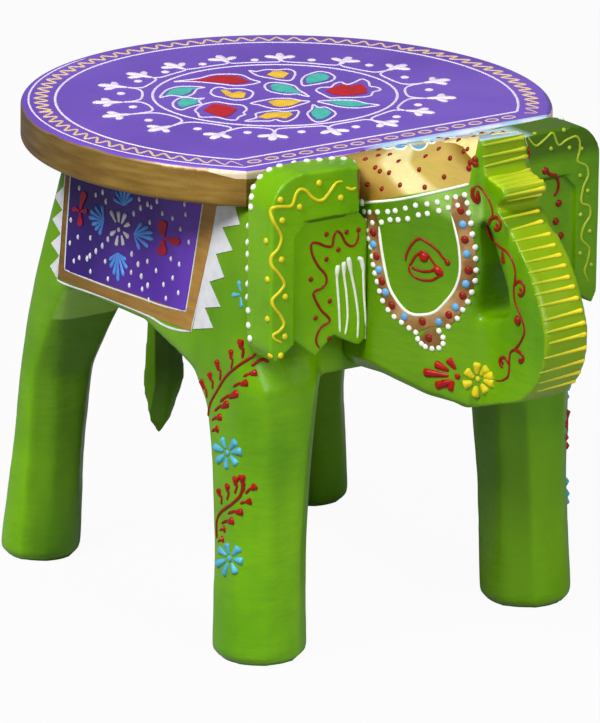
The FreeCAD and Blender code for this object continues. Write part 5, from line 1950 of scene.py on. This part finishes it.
PETAL_ENDS = (0.32, 1.1)
STALK_CORD = 1.0 * MM
STEM_CORD = 1.1 * MM
LEAF_BLOB = 2.5 * MM
LEG_PETAL = 2.8 * MM
LEG_BEAD = 2.0 * MM
SPRIG_DROP = 1.9 * MM
find_leg = by_eye(skin(body))
fern = Paint(find_leg, both_sides=True)
stems = Paint(find_leg, both_sides=True)
for blob, base in FERN_LEAVES:
    blob, base = Vector(blob), Vector(base)
    along = blob - base
    bend = BEND if along.x < abs(along.y) else -BEND
    middle = base + along / 2 + Vector((-along.y, along.x)) * bend
    stems.cord([base, middle, base + along * STALK_END], STALK_CORD)
    fern.cord([base + along * BLOB_START, blob + along * BLOB_PAST], LEAF_BLOB, BLOB, step=BLOB_STEP)
fern.make("leg_fern_leaves", fern_paint)
for stem in FERN_STEMS:
    stems.cord(stem, STEM_CORD)
stems.make("leg_fern_stems", wine_paint)
leg_blue = Paint(find_leg, both_sides=True)
for centre, tips in LEG_FLOWERS:
    middle = Vector(centre)
    for tip in tips:
        leg_blue.drops([[middle.lerp(Vector(tip), share) for share in PETAL_ENDS]], LEG_PETAL, PETAL)
leg_blue.dots([centre for centre, _ in LEG_FLOWERS], LEG_BEAD)
leg_blue.drops(SIDE_SPRIG, SPRIG_DROP).make("leg_flowers", leg_blue_paint)

# %% [markdown]
# The stool stands on a pale floor. The floor is white to the camera through Light Path, and
# still takes the stool's soft shadow. The light is a wide soft box at the upper left, a weaker
# one at the right and an even pale sky. A box has a place, a width and a power.

# %% Floor and light
FLOOR_GREY = srgb(170, 170, 170)
FLOOR_SIZE = 8.0
WHITE_SHARE = 0.95
SKY_STRENGTH = 0.2
SOFT_BOXES = {
    "key_light": ((-2.1, -0.5, 2.7), 1.2, 128),
    "fill_light": ((0.4, -2.8, 1.7), 1.6, 48),
}


def pale_stage():
    recipe = Recipe("pale_stage", 0.9)
    recipe.shader.inputs["Base Color"].default_value = FLOOR_GREY
    light = recipe.add("ShaderNodeLightPath")
    glow = recipe.add("ShaderNodeEmission")
    glow.inputs["Strength"].default_value = 1.0
    blend = recipe.add("ShaderNodeMixShader")
    seen = recipe.times(light.outputs["Is Camera Ray"], WHITE_SHARE)
    recipe.join(seen, blend.inputs[0])
    recipe.join(recipe.shader.outputs[0], blend.inputs[1])
    recipe.join(glow.outputs[0], blend.inputs[2])
    recipe.join(blend.outputs[0], recipe.tree.nodes["Material Output"].inputs["Surface"])
    return recipe.material


bpy.ops.object.select_all(action="DESELECT")
bpy.ops.mesh.primitive_plane_add(size=FLOOR_SIZE, location=(0, 0, 0))
floor = bpy.context.object
floor.name = "floor"
floor.data.materials.append(pale_stage())


def soft_box(name, place, width, watts):
    """A square soft box that points at the stool."""
    data = bpy.data.lights.new(name, "AREA")
    data.size = width
    data.energy = watts
    lamp = bpy.data.objects.new(name, data)
    lamp.location = place
    lamp.rotation_euler = (VIEW_TARGET - Vector(place)).to_track_quat("-Z", "Y").to_euler()
    bpy.context.scene.collection.objects.link(lamp)


for name, how in SOFT_BOXES.items():
    soft_box(name, *how)
world = bpy.data.worlds.new("sky")
world.use_nodes = True
sky = world.node_tree
sky.nodes["Background"].inputs["Color"].default_value = (1, 1, 1, 1)
sky.nodes["Background"].inputs["Strength"].default_value = SKY_STRENGTH
bpy.context.scene.world = world
bpy.context.scene.view_settings.view_transform = "Standard"
print("lit by", ", ".join(SOFT_BOXES))
